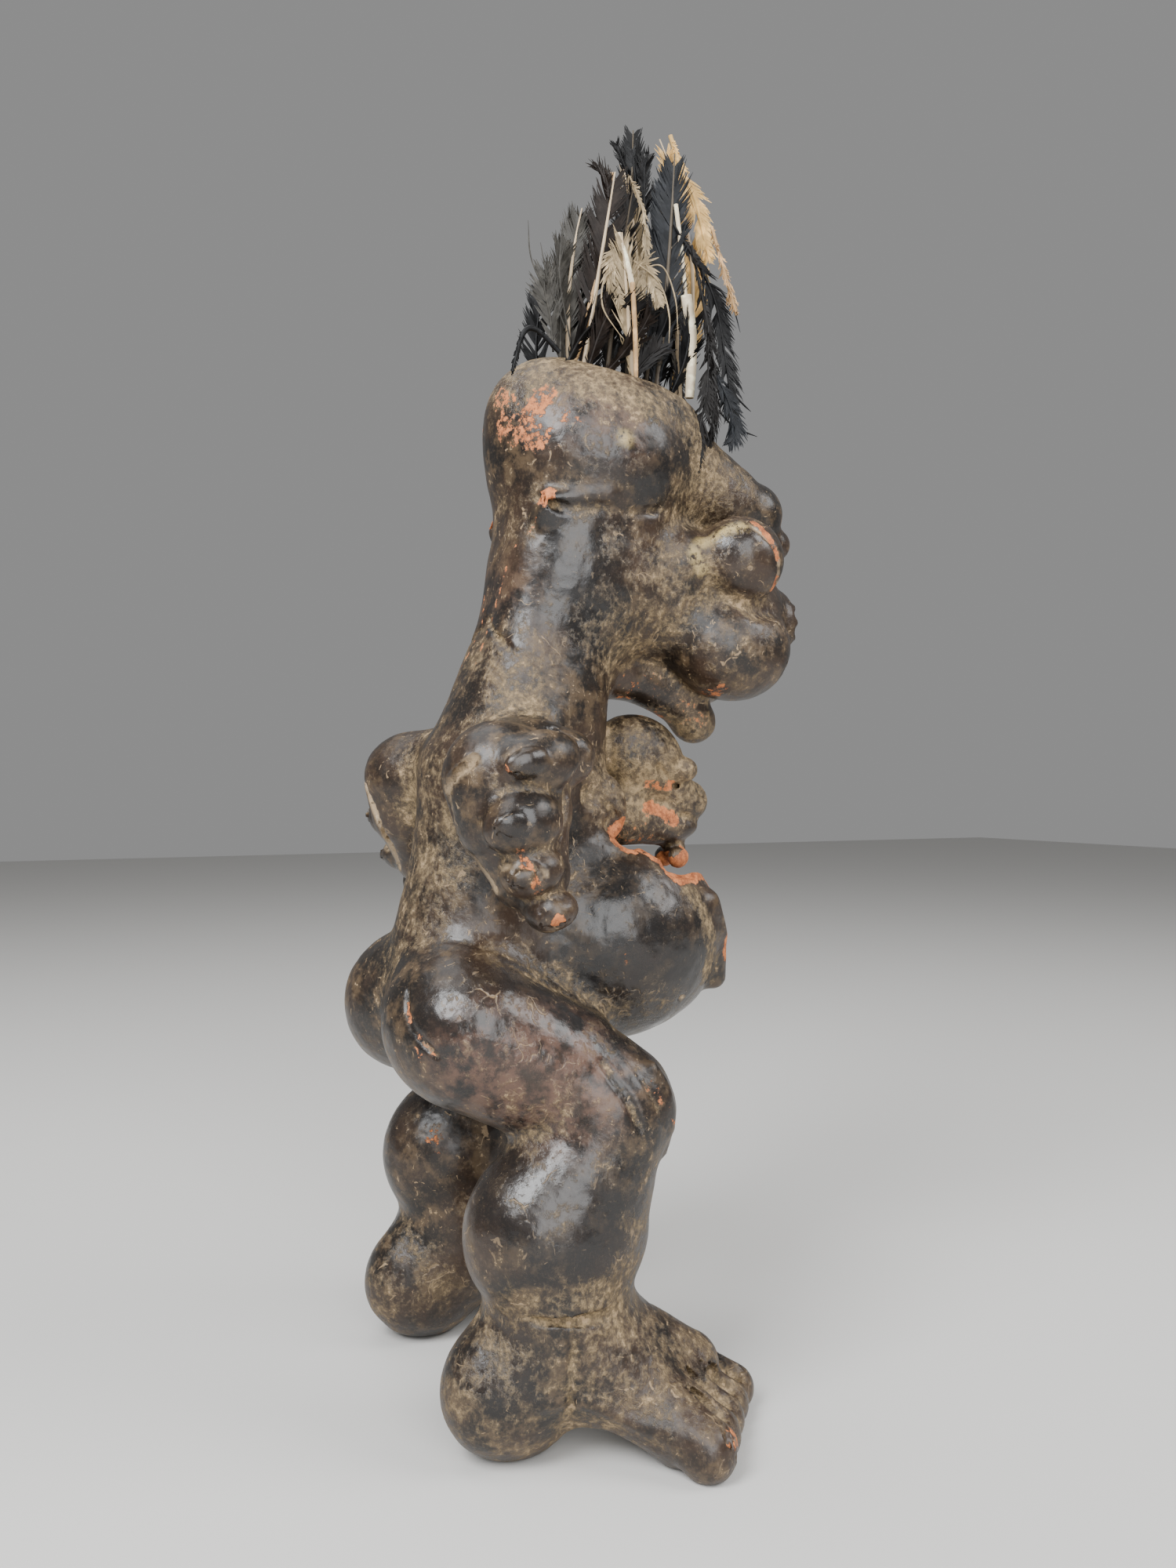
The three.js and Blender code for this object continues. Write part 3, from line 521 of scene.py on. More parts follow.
def blurred(array, reach):
    """The mean of an array over a cube of cells on each side."""
    for axis in range(3):
        count = array.shape[axis]
        wide = np.pad(array, [(reach + 1, reach) if n == axis else (0, 0) for n in range(3)], mode="edge")
        sums = np.cumsum(wide, axis=axis, dtype=np.float32)
        top = np.take(sums, np.arange(count) + 2 * reach + 1, axis=axis)
        array = (top - np.take(sums, np.arange(count), axis=axis)) / (2 * reach + 1)
    return array


CORNERS = [(a, b, c) for a in (0, 1) for b in (0, 1) for c in (0, 1)]
CELLS_ABOUT = {
    0: [(0, 0, 0), (0, -1, 0), (0, -1, -1), (0, 0, -1)],
    1: [(0, 0, 0), (0, 0, -1), (-1, 0, -1), (-1, 0, 0)],
    2: [(0, 0, 0), (-1, 0, 0), (-1, -1, 0), (0, -1, 0)],
}


def skin_points(grid, cells):
    """One point in each cell: the mean of where the surface crosses the cell's edges."""
    total = np.zeros((len(cells), 3))
    crossings = np.zeros(len(cells))
    for start in CORNERS:
        for axis in range(3):
            if start[axis] == 1:
                continue
            step = np.eye(3, dtype=int)[axis]
            near = grid.values[tuple((cells + start).T)]
            far = grid.values[tuple((cells + start + step).T)]
            crossed = (near < 0) != (far < 0)
            share = np.where(crossed, near / np.where(crossed, near - far, 1), 0)
            total += crossed[:, None] * (np.array(start) + share[:, None] * step)
            crossings += crossed
    return (total / crossings[:, None] + cells) * grid.cell + grid.low


def skin_of(grid):
    """The surface: one point in each crossed cell and a square about each crossed line."""
    inside = grid.values < 0
    count = np.zeros(tuple(n - 1 for n in grid.shape), dtype=np.int8)
    nx, ny, nz = count.shape
    for a, b, c in CORNERS:
        count += inside[a : nx + a, b : ny + b, c : nz + c]
    cells = np.argwhere((count > 0) & (count < len(CORNERS)))
    number = np.full(count.shape, -1, dtype=np.int32)
    number[tuple(cells.T)] = np.arange(len(cells))
    squares = []
    for axis, about in CELLS_ABOUT.items():
        leaving = np.take(inside, range(grid.shape[axis] - 1), axis=axis)
        entering = np.take(inside, range(1, grid.shape[axis]), axis=axis)
        lines = np.argwhere(leaving != entering)
        square = np.stack([number[tuple((lines + step).T)] for step in about], axis=1)
        outward = leaving[tuple(lines.T)]
        square[~outward] = square[~outward][:, ::-1]
        squares.append(square)
    return skin_points(grid, cells), np.vstack(squares)


def normals_of(grid, points):
    """Which way the clay's surface faces at each point."""
    ahead = [grid.sample(grid.values, points + way) for way in np.eye(3)]
    behind = [grid.sample(grid.values, points - way) for way in np.eye(3)]
    slope = np.stack(ahead, axis=1) - np.stack(behind, axis=1)
    return slope / np.maximum(np.linalg.norm(slope, axis=1), 1e-6)[:, None]


# Noise by place

# Large numbers that turn a grid place and a seed into a chance value

MIXERS = (73856093, 19349663, 83492791, 2654435761, 1274126177)

# The hand-worked dents: their size in millimetres and their share of the height

DENTS = [(17, 0.9), (7, 0.4), (3.2, 0.15)]


def noise(points, size, seed):
    """Smooth noise between -1 and 1 with lumps of a size in millimetres."""
    spot = points / size
    base = np.floor(spot).astype(np.int64)
    share = spot - base
    share = share * share * (3 - 2 * share)
    total = np.zeros(len(points))
    for corner in range(8):
        step = np.array([corner & 1, corner >> 1 & 1, corner >> 2 & 1])
        i, j, k = (base + step).T
        mixed = (i * MIXERS[0]) ^ (j * MIXERS[1]) ^ (k * MIXERS[2]) ^ (seed * MIXERS[3])
        mixed = (mixed ^ (mixed >> 13)) * MIXERS[4] & 0x7FFFFFFF
        weight = np.prod(np.where(step == 1, share, 1 - share), axis=1)
        total += weight * ((mixed >> 7 & 0xFFFF) / 32767.5 - 1)
    return total


def hand_dents(points):
    """Unevenness of the hand-worked surface, fading out at the soles."""
    rough = sum(share * noise(points, size, seed) for seed, (size, share) in enumerate(DENTS, 1))
    return rough * np.clip((points[:, 2] - 0.5) / 3, 0, 1)


# Meshes, materials and pieces

def mesh_from(name, points, squares):
    """A smooth mesh of four-sided faces, from places in millimetres."""
    mesh = bpy.data.meshes.new(name)
    mesh.vertices.add(len(points))
    mesh.vertices.foreach_set("co", (points * MM).astype(np.float32).ravel())
    mesh.loops.add(4 * len(squares))
    mesh.loops.foreach_set("vertex_index", squares.astype(np.int32).ravel())
    mesh.polygons.add(len(squares))
    mesh.polygons.foreach_set("loop_start", np.arange(0, 4 * len(squares), 4, dtype=np.int32))
    mesh.update(calc_edges=True)
    mesh.polygons.foreach_set("use_smooth", np.ones(len(squares), dtype=bool))
    return mesh


def piece_from(name, mesh, material):
    """An object in the scene with one material."""
    mesh.materials.append(material)
    piece = bpy.data.objects.new(name, mesh)
    bpy.context.scene.collection.objects.link(piece)
    return piece


def places_of(mesh):
    """The mesh's points in millimetres."""
    found = np.empty(3 * len(mesh.vertices), dtype=np.float32)
    mesh.vertices.foreach_get("co", found)
    return found.reshape(-1, 3).astype(float) / MM


def paint(mesh, name, values):
    """Keep a value from 0 to 1 for each point, which the materials read by name."""
    layer = mesh.attributes.new(name, "FLOAT", "POINT")
    layer.data.foreach_set("value", np.clip(values, 0, 1).astype(np.float32))


def thinned(mesh, wanted):
    """The mesh with its flattest parts drawn coarser, down to a number of triangles."""
    holder = bpy.data.objects.new("clay.draft", mesh)
    bpy.context.scene.collection.objects.link(holder)
    change = holder.modifiers.new("thin", "DECIMATE")
    change.ratio = min(1.0, wanted / (2 * len(mesh.polygons)))
    seen = holder.evaluated_get(bpy.context.evaluated_depsgraph_get())
    made = bpy.data.meshes.new_from_object(seen)
    bpy.data.objects.remove(holder)
    return made


class Shader:
    """A short way to write a material's nodes."""

    def __init__(self, name):
        self.material = bpy.data.materials.new(name)
        self.material.use_nodes = True
        self.nodes = self.material.node_tree.nodes
        self.links = self.material.node_tree.links
        self.surface = self.nodes["Principled BSDF"]
        self.place = self.nodes.new("ShaderNodeTexCoord").outputs["Object"]

    def put(self, socket, value):
        """Link another node's output to a socket, or set a plain number or colour on it."""
        if isinstance(value, bpy.types.NodeSocket):
            self.links.new(value, socket)
        elif isinstance(value, tuple):
            socket.default_value = (*value, 1)
        else:
            socket.default_value = value

    def noise(self, scale, detail=3.0, rough=0.55, place=None):
        node = self.nodes.new("ShaderNodeTexNoise")
        self.put(node.inputs["Vector"], place or self.place)
        node.inputs["Scale"].default_value = scale
        node.inputs["Detail"].default_value = detail
        node.inputs["Roughness"].default_value = rough
        return node.outputs["Fac"]

    def warped(self, amount, scale):
        """The place, pushed about by noise so that patterns lose their straight lines."""
        noise = self.nodes.new("ShaderNodeTexNoise")
        self.put(noise.inputs["Vector"], self.place)
        noise.inputs["Scale"].default_value = scale
        node = self.nodes.new("ShaderNodeVectorMath")
        node.operation = "MULTIPLY_ADD"
        self.put(node.inputs[0], noise.outputs["Color"])
        node.inputs[1].default_value = (amount, amount, amount)
        self.put(node.inputs[2], self.place)
        return node.outputs[0]

    def stretched(self, place, factors):
        """A place scaled along each axis, so that noise there draws out into streaks."""
        node = self.nodes.new("ShaderNodeVectorMath")
        node.operation = "MULTIPLY"
        self.put(node.inputs[0], place)
        node.inputs[1].default_value = factors
        return node.outputs[0]

    def cracks(self, scale, place):
        """How far a place is from the nearest line of a crack network."""
        node = self.nodes.new("ShaderNodeTexVoronoi")
        node.feature = "DISTANCE_TO_EDGE"
        self.put(node.inputs["Vector"], place)
        node.inputs["Scale"].default_value = scale
        return node.outputs["Distance"]

    def attribute(self, name):
        node = self.nodes.new("ShaderNodeAttribute")
        node.attribute_name = name
        return node.outputs["Fac"]

    def math(self, kind, a, b):
        node = self.nodes.new("ShaderNodeMath")
        node.operation = kind
        self.put(node.inputs[0], a)
        self.put(node.inputs[1], b)
        return node.outputs[0]

    def times(self, a, b):
        return self.math("MULTIPLY", a, b)

    def plus(self, a, b):
        return self.math("ADD", a, b)

    def most(self, a, b):
        return self.math("MAXIMUM", a, b)

    def swing(self, value, amount):
        """How far a noise is from its middle, times an amount."""
        return self.times(self.math("SUBTRACT", value, 0.5), amount)

    def band(self, value, low, high):
        """Zero below low, one above high and smooth between them."""
        node = self.nodes.new("ShaderNodeMapRange")
        node.interpolation_type = "SMOOTHSTEP"
        self.put(node.inputs["Value"], value)
        node.inputs["From Min"].default_value = low
        node.inputs["From Max"].default_value = high
        return node.outputs["Result"]

    def mix(self, share, a, b):
        """Colour a, turning to colour b with the share."""
        node = self.nodes.new("ShaderNodeMix")
        node.data_type = "RGBA"
        self.put(node.inputs[0], share)
        self.put(node.inputs[6], a)
        self.put(node.inputs[7], b)
        return node.outputs[2]

    def level(self, share, a, b):
        """Number a, turning to number b with the share."""
        node = self.nodes.new("ShaderNodeMix")
        self.put(node.inputs[0], share)
        self.put(node.inputs[2], a)
        self.put(node.inputs[3], b)
        return node.outputs[0]

    def bump(self, height, strength, distance):
        node = self.nodes.new("ShaderNodeBump")
        node.inputs["Strength"].default_value = strength
        node.inputs["Distance"].default_value = distance
        self.put(node.inputs["Height"], height)
        return node.outputs["Normal"]


# Colours of the clay's layers

BROWN_SLIP = (0.036, 0.0205, 0.0120)
THIN_SLIP = (0.076, 0.049, 0.026)
GRAINY_SLIP = (0.105, 0.072, 0.046)
POLISHED_SLIP = (0.0135, 0.0125, 0.0125)
PINK_SLIP = (0.110, 0.058, 0.040)
DARK_DIRT = (0.112, 0.077, 0.038)
PALE_FLECK = (0.330, 0.230, 0.130)
PALE_LINE = (0.420, 0.310, 0.190)
# Pale yellow of the straw fibres, also used for one painted highlight on the skull's side
STRAW_AND_GLINT_YELLOW = (0.440, 0.330, 0.140)
DARK_CLAY = (0.230, 0.064, 0.020)


def clay_material(settings):
    """Burnished dark slip over orange clay, with tan dirt in the hollows and bare chips."""
    s = Shader("fired_clay")
    hollow = s.attribute("hollow")
    gloss = s.attribute("gloss")
    broad = s.noise(34, 5, 0.62)
    middle = s.noise(130, 6, 0.68)
    fine = s.noise(430, 5, 0.7)
    grain = s.noise(1100, 3, 0.6)
    soft = s.noise(170, 1.5, 0.5)
    warped = s.warped(0.012, 110)
    upright = s.noise(520, 3, 0.6, s.stretched(warped, (1, 1, 0.16)))
    level = s.noise(520, 3, 0.6, s.stretched(warped, (0.25, 0.25, 1)))
    # The slip, from nearly black to thin and brown, darker where it is polished
    slip = s.mix(s.band(broad, 0.40, 0.62), tuple(settings.slip_colour), BROWN_SLIP)
    slip = s.mix(s.band(middle, 0.46, 0.64), slip, THIN_SLIP)
    slip = s.mix(s.times(s.band(grain, 0.5, 0.75), 0.4), slip, GRAINY_SLIP)
    slip = s.mix(s.times(gloss, 0.72), slip, POLISHED_SLIP)
    slip = s.mix(s.times(s.attribute("pink"), s.band(middle, 0.38, 0.6)), slip, PINK_SLIP)
    # Dirt in the hollows and dusty places, broken up by the noises
    dirt = s.plus(s.times(hollow, 1.1), s.attribute("dusty"))
    for texture, amount in ((broad, 1.0), (middle, 1.6), (fine, 1.8), (upright, 0.9)):
        dirt = s.plus(dirt, s.swing(texture, amount))
    dirt = s.times(s.band(dirt, 0.15, 1.30), 0.88)
    # Fine cracks, and pale flecks and streaks that are fewer on the gloss
    seam = s.times(s.band(s.cracks(70, warped), 0.022, 0.006), s.band(broad, 0.52, 0.60))
    seam = s.times(seam, s.band(middle, 0.46, 0.56))
    fleck = s.plus(s.plus(fine, s.swing(middle, 0.6)), s.times(hollow, 0.15))
    streak = s.most(s.band(upright, 0.665, 0.70), s.band(level, 0.69, 0.72))
    fleck = s.most(s.band(fleck, 0.68, 0.72), s.times(streak, 0.8))
    fleck = s.times(fleck, s.level(gloss, 0.85, 0.25))
    tan = s.mix(s.band(fine, 0.4, 0.62), DARK_DIRT, tuple(settings.dirt_colour))
    colour = s.mix(dirt, slip, tan)
    colour = s.mix(s.most(s.times(seam, 0.5), fleck), colour, PALE_FLECK)
    colour = s.mix(s.times(s.attribute("scored"), s.band(fine, 0.3, 0.5)), colour, PALE_LINE)
    # Straw fibres in pale yellow, and one painted highlight: the small pale spot on the skull's side stands
    # in for a glint of light
    colour = s.mix(s.times(s.attribute("straw_and_glint"), s.band(fine, 0.38, 0.52)), colour, STRAW_AND_GLINT_YELLOW)
    # Slip worn through to the orange clay on ridges, chips and breaks
    worn = s.plus(s.times(s.attribute("ridge"), 0.5), s.attribute("bare"))
    worn = s.plus(s.plus(worn, s.swing(fine, 1.5)), s.swing(middle, 1.5))
    worn = s.band(worn, 0.62, 0.76)
    clay = s.mix(s.band(fine, 0.35, 0.65), DARK_CLAY, tuple(settings.clay_colour))
    s.put(s.surface.inputs["Base Color"], s.mix(worn, colour, clay))
    # The polished slip shines, and dirt and bare clay don't
    rough = s.plus(s.level(gloss, 0.36, 0.23), s.swing(middle, 0.35))
    cover = s.most(s.most(dirt, worn), fleck)
    s.put(s.surface.inputs["Roughness"], s.level(cover, rough, 0.72))
    height = s.plus(s.times(soft, 0.55), s.times(fine, 0.10))
    height = s.plus(height, s.times(dirt, s.times(fine, 0.55)))
    height = s.math("SUBTRACT", height, s.times(s.most(seam, worn), 0.16))
    s.put(s.surface.inputs["Normal"], s.bump(height, 0.7, 0.0014))
    return s.material


# Where the clay's surface differs, on both sides: a path, how far it reaches and how strongly

GLOSSY = [
    ([(-26, -16, 276), (-24, -12, 256)], 15, 1.0),
    ([(-30, -18, 307), (-34, -5, 301), (-31, 11, 295)], 8, 0.9),
    ([(-40, 0, 138), (-42, 14, 128)], 30, 1.0),
    ([(-50, -58, 130), (-48, -30, 132)], 20, 1.0),
    ([(-60, -46, 84), (-62, -30, 72)], 24, 1.0),
    ([(-58, -52, 32)], 15, 0.9),
    ([(-70, -50, 203), (-70, -54, 187)], 6, 0.9),
    ([(-32, 40, 280)], 9, 1.0),
]
DUSTY = [
    ([(0, -8, 342), (0, 30, 334)], 32, 1.0),
    ([(-10, -34, 236), (-24, -36, 222)], 14, 0.55),
    ([(-20, -26, 330), (-30, -8, 328), (-32, 8, 322)], 8, 0.75),
    ([(-28, 16, 268), (-26, 30, 262)], 12, 0.35),
    ([(-23, -4, 248), (-22, 10, 246)], 14, 0.50),
    ([(-24, 44, 244)], 16, 0.30),
    ([(0, 6, 196), (0, 34, 206)], 22, 0.95),
    ([(-28, 26, 296), (-14, 52, 304)], 12, 0.45),
    ([(-26, -44, 214), (-18, -56, 176)], 13, 0.55),
    ([(0, -58, 196), (0, -62, 150)], 20, 0.45),
    ([(-58, -50, 50), (-66, -20, 46)], 9, 0.50),
    ([(-44, -60, 20), (-62, 10, 20)], 22, 0.40),
    ([(-8, 42, 140)], 16, 0.45),
    ([(-33, 22, 163), (-34, 29, 149), (-29, 31, 134)], 4, 1.0),
    ([(-62, -8, 62), (-58, -8, 52)], 14, 0.35),
    ([(-34, 10, 122), (-50, -20, 122)], 9, 0.35),
]
# Straw fibres by the eyes and at the foot; the spot at (-35, -3, 308) on the skull's side is a painted
# highlight, not straw
STRAW_AND_GLINT = [
    ([(-27, 30, 280), (-31, 36, 284), (-34, 42, 286)], 2.6, 0.9),
    ([(-26, 27, 276), (-27, 30, 270)], 2.4, 0.7),
    ([(-64, -2, 24)], 1.6, 1.0),
    ([(-35, -3, 308)], 2.5, 0.7),
]
BARE = [
    ([(-22, -26, 324), (-17, -31, 312), (-22, -26, 308)], 7, 0.64),
    ([(-29, -19, 315)], 6, 0.62),
    ([(-10, -35, 313), (-13, -34, 322)], 6, 0.58),
    ([(-6, -34, 327), (-8, -34, 316)], 5, 0.62),
    ([(-33, 10, 312)], 4, 0.40),
    ([(-24, -25, 287), (-14, -32, 276), (-8, -35, 264), (-4, -38, 250), (-7, -44, 236)], 1.3, 0.62),
    ([(-24, -26, 290)], 4, 0.95),
    ([(-6, 12, 231), (-5, 38, 222)], 9, 0.52),
    ([(-14, 38, 230), (-22, 40, 231)], 4, 0.70),
    ([(-32, 47, 287), (-36, 53, 279), (-35, 57, 271), (-28, 58, 265)], 2.0, 1.0),
    ([(-8, 20, 190), (-8, 30, 186)], 3.5, 0.85),
    ([(-9, 19, 198), (-10, 28, 197)], 3, 0.80),
    ([(-7, 10, 179), (-8, 22, 181)], 7, 0.52),
    ([(-69, -41, 159)], 3, 0.90),
    ([(-67, -59, 204), (-69, -54, 197), (-69, -46, 196)], 1.8, 0.78),
    ([(-67, -52, 179), (-69, -46, 166)], 2.2, 0.70),
    ([(-66, -34, 190), (-67, -36, 176)], 1.6, 0.60),
    ([(-30, -72, 136), (-38, -75, 128), (-45, -69, 120)], 1.4, 0.70),
    ([(-41, -73, 120)], 3, 0.62),
    ([(-62, -8, 109), (-60, 2, 96)], 3, 0.60),
    ([(-83, 6, 11)], 5, 0.70),
    ([(-26, -46, 73)], 7, 0.55),
    ([(-38, -8, 146), (-42, 0, 140)], 4, 0.45),
    ([(-60, -60, 20)], 5, 0.40),
]
PINK = [
    ([(-56, -54, 116), (-56, -34, 112)], 20, 0.8),
    ([(-24, -20, 320), (-30, -4, 314)], 14, 0.4),
    ([(-10, -30, 262)], 12, 0.3),
]


def away_from(points, path):
    """How far each point is from a path."""
    path = places(*path)
    least = np.linalg.norm(points - path[0], axis=1)
    for start, end in zip(path, path[1:]):
        way = end - start
        share = np.clip((points - start) @ way / way.dot(way), 0, 1)
        least = np.minimum(least, np.linalg.norm(points - start - share[:, None] * way, axis=1))
    return least


def spots(points, table):
    """How much each point is covered by a table's paths, which are the same on both sides."""
    total = np.zeros(len(points))
    mirrored = points * [-1, 1, 1]
    for path, reach, amount in table:
        away = np.minimum(away_from(points, path), away_from(mirrored, path))
        total = np.maximum(total, amount * np.clip(1.6 - 1.2 * away / reach, 0, 1))
    return total


def broken_edge(points):
    """How near each point is to the belly's broken edge and its chips."""
    broken = np.zeros(len(points))
    from_middle = np.linalg.norm((points - at(*BELLY_MIDDLE)) / np.asarray(BELLY_RADII), axis=1)
    in_wall = from_middle > 0.84
    for place, radii in belly_chips():
        away = np.linalg.norm((points - at(*place)) / np.asarray(radii), axis=1)
        broken = np.maximum(broken, np.clip(4.2 - 2.2 * away, 0, 1) * in_wall)
    for distance, _ in belly_break():
        away = np.abs(distance(*points.T))
        broken = np.maximum(broken, np.clip(4.3 - away, 0, 1) * in_wall * (from_middle < 1.06))
    return broken


def paint_clay(mesh, grid):
    """Everything that the clay's material reads from the points."""
    points = places_of(mesh)
    solid = np.clip(0.5 - grid.values / grid.cell, 0, 1).astype(np.float32)
    near = grid.sample(blurred(solid, max(1, round(2.2 / grid.cell))), points)
    wide = grid.sample(blurred(solid, round(6.0 / grid.cell)), points)
    paint(mesh, "hollow", 1.6 * (wide - 0.52) + 3.2 * np.maximum(near - 0.52, 0))
    paint(mesh, "ridge", 3.2 * (0.45 - near))
    paint(mesh, "bare", np.maximum(broken_edge(points), spots(points, BARE)))
    paint(mesh, "dusty", spots(points, DUSTY))
    paint(mesh, "gloss", spots(points, GLOSSY))
    paint(mesh, "pink", spots(points, PINK))
    # Straw fibres, and the painted highlight on the skull's side
    paint(mesh, "straw_and_glint", spots(points, STRAW_AND_GLINT))
    paint(mesh, "scored", spots(points, [(path, 1.3 * width, 1.0) for path, width in SCORED]))


# Feathers: name, colour, where the quill stands left and front in the pit, how far the tip leans to the
# front, height above the pit's floor, width, bow to the front, twist in degrees and how torn it is

Feather = namedtuple("Feather", "name slot lane front lean tall wide bow twist torn")
FEATHERS = [
    Feather("brown-near", "brown", -10, -19, 11, 75, 14, 0, -8, 0.3),
    Feather("short-near", "cream", -13, -0.5, -7, 53, 11, 0, 15, 0.8),
    Feather("dark-near", "dark", -6, -8, 10, 76, 13, -1, 25, 0.3),
    Feather("grey-back", "grey", -5, -20, 3, 64, 12, -3, -35, 0.6),
    Feather("cream", "cream", -2, 5, -4, 83, 12, 4, 30, 0.7),
    Feather("grey-far", "grey", 3, -19, 5, 68, 13, -3, 40, 0.5),
    Feather("black-tall", "black", 2, 4.5, 3, 101, 13, 0, -20, 0.2),
    Feather("black-far", "black", 9.5, 8, 8, 93, 10, 1, 45, 0.3),
    Feather("slate", "slate", -8, 10.5, 6, 88, 13, 1, -30, 0.3),
    Feather("dark-front", "dark", 6.5, 12.5, 8, 88, 13, 2, 35, 0.4),
    Feather("white-quill", "white", -4, 22.5, -6, 71, 9, 1, 10, 0.7),
    Feather("yellow-torn", "yellow", 0.5, 20, -3, 99, 11, 12, -12, 0.5),
    Feather("brown-front", "brown", 4, 22, 6, 72, 12, 7, 30, 0.5),
    Feather("small-far", "dark", 13, 2, 6, 72, 11, 1, -40, 0.5),
]

# Loose wisps, broken quills and hairs: colour, the shaft's radius, the barbs' spread and a path

Wisp = namedtuple("Wisp", "slot thick wide path")
WISPS = [
    Wisp("grey", 0.5, 10, [(-8, -14, 339), (-8, -14, 355), (-8, -15, 367), (-8, -12, 381)]),
    Wisp("grey", 0.4, 8, [(-5, -10, 341), (-5, -10, 362), (-5, -8, 379), (-5, -5, 392)]),
    Wisp("dark", 0.5, 9, [(-2, -7, 345), (-2, -3, 368), (-2, -2, 384), (-2, 1, 394)]),
    Wisp("grey", 0.4, 9, [(-9, -17, 342), (-9, -18, 353), (-9, -20, 362), (-9, -20, 369)]),
    Wisp("black", 0.9, 2, [(-12, -16, 341), (-12, -24, 347), (-12, -29, 345), (-12, -33, 331)]),
    Wisp("brown", 0.4, 6, [(-14, 1, 395), (-14, 0, 401), (-14, -4, 405)]),
    Wisp("black", 0.5, 9, [(2, 17, 390), (2, 20, 405), (2, 19, 417), (2, 18, 423)]),
    Wisp("black", 0.4, 7, [(0, 21, 388), (0, 22, 404), (0, 22, 415), (0, 24, 422)]),
    Wisp("black", 0.4, 5, [(3, 18, 412), (3, 14, 420), (3, 12, 424)]),
    Wisp("slate", 0.6, 11, [(-9, 20, 350), (-8, 23, 370), (-6, 27, 402), (-6, 28, 415)]),
    Wisp("black", 0.5, 9, [(-12, 27, 392), (-14, 41, 371), (-14, 46, 352), (-14, 51, 321)]),
    Wisp("dark", 0.5, 9, [(-16, 32, 384), (-18, 38, 352), (-18, 40, 330), (-18, 36, 310)]),
    Wisp("dark", 0.4, 7, [(-19, 37, 356), (-20, 36, 335), (-20, 33, 320), (-20, 31, 305)]),
    Wisp("slate", 0.4, 7, [(-17, 39, 344), (-17, 46, 332), (-17, 49, 322), (-17, 46, 316)]),
    Wisp("dark", 0.6, 12, [(-15, -16, 334), (-15, -8, 348), (-15, 4, 356), (-15, 15, 357)]),
    Wisp("black", 0.6, 12, [(-12, 10, 334), (-10, 18, 346), (-10, 24, 356), (-10, 28, 368)]),
    Wisp("cream", 0.3, 5, [(-17, 8, 366), (-17, 3, 377), (-17, 0, 368), (-17, 4, 358)]),
    Wisp("cream", 0.3, 5, [(-17, 8, 368), (-17, 13, 374), (-17, 17, 366), (-17, 19, 360)]),
    Wisp("brown", 0.5, 9, [(-16, -2, 334), (-16, 5, 342), (-16, 12, 351), (-16, 16, 358)]),
    Wisp("dark", 0.5, 9, [(-14, 8, 332), (-14, 14, 341), (-14, 22, 349)]),
    Wisp("brown", 0.5, 9, [(-15, -8, 333), (-16, -4, 346), (-16, 2, 360)]),
    Wisp("black", 0.5, 10, [(-11, 26, 332), (-13, 31, 345), (-13, 34, 360)]),
    Wisp("black", 0.5, 10, [(6, 26, 332), (8, 32, 350), (9, 38, 366)]),
    Wisp("dark", 0.5, 10, [(12, 6, 332), (16, 8, 350), (17, 14, 368)]),
    Wisp("black", 0.5, 10, [(10, -12, 332), (13, -14, 350), (13, -12, 372)]),
    Wisp("dark", 0.5, 9, [(8, 34, 372), (12, 40, 352), (13, 44, 334)]),
    Wisp("quill", 1.1, 0, [(-17, 3, 382), (-17, 7, 371), (-17, 9, 362)]),
    Wisp("horn", 0.9, 0, [(-18, 8, 366), (-18, 9, 350), (-17, 10, 331)]),
    Wisp("quill", 0.8, 0, [(-12, 28, 399), (-12, 30, 385), (-12, 32, 368)]),
    Wisp("quill", 2.1, 0, [(-12, 32, 368), (-12, 34, 356), (-12, 34, 345), (-11, 34, 333)]),
    Wisp("horn", 0.9, 0, [(-11, 4, 405), (-11, -2, 371), (-11, -7, 348), (-11, -12, 334)]),
    Wisp("cream", 0.35, 4, [(-12, 10, 405), (-13, 15, 392), (-13, 15, 372), (-14, 11, 356)]),
    Wisp("cream", 0.3, 0, [(-17, 6, 372), (-18, -2, 366), (-18, -3, 356), (-18, 4, 347)]),
    Wisp("cream", 0.3, 0, [(-17, 9, 374), (-18, 18, 368), (-18, 22, 358), (-18, 22, 348)]),
    Wisp("cream", 0.25, 0, [(-16, 12, 372), (-17, 20, 374), (-17, 25, 364), (-17, 26, 352)]),
    Wisp("horn", 0.6, 4, [(-16, 40, 392), (-17, 44, 378), (-18, 49, 362)]),
    Wisp("grey", 0.3, 0, [(-10, -13, 350), (-10, -19, 364), (-10, -22, 377)]),
    Wisp("grey", 0.3, 0, [(-10, -11, 345), (-10, -15, 366), (-10, -14, 386)]),
    Wisp("yellow", 0.8, 7, [(-8, 28, 425), (-8, 33, 412), (-8, 38, 404), (-8, 44, 383)]),
    Wisp("black", 0.35, 0, [(-10, 44, 345), (-10, 52, 338), (-10, 57, 334), (-10, 60, 332)]),
    Wisp("black", 0.35, 0, [(-8, 40, 338), (-8, 53, 327), (-8, 59, 325), (-8, 64, 324)]),
    Wisp("grey", 0.25, 0, [(-9, -20, 362), (-9, -25, 372), (-9, -26, 384)]),
    Wisp("slate", 0.25, 0, [(-14, 44, 372), (-14, 50, 366), (-14, 53, 358)]),
    Wisp("cream", 0.25, 0, [(-12, 36, 384), (-12, 43, 372), (-12, 47, 362)]),
]

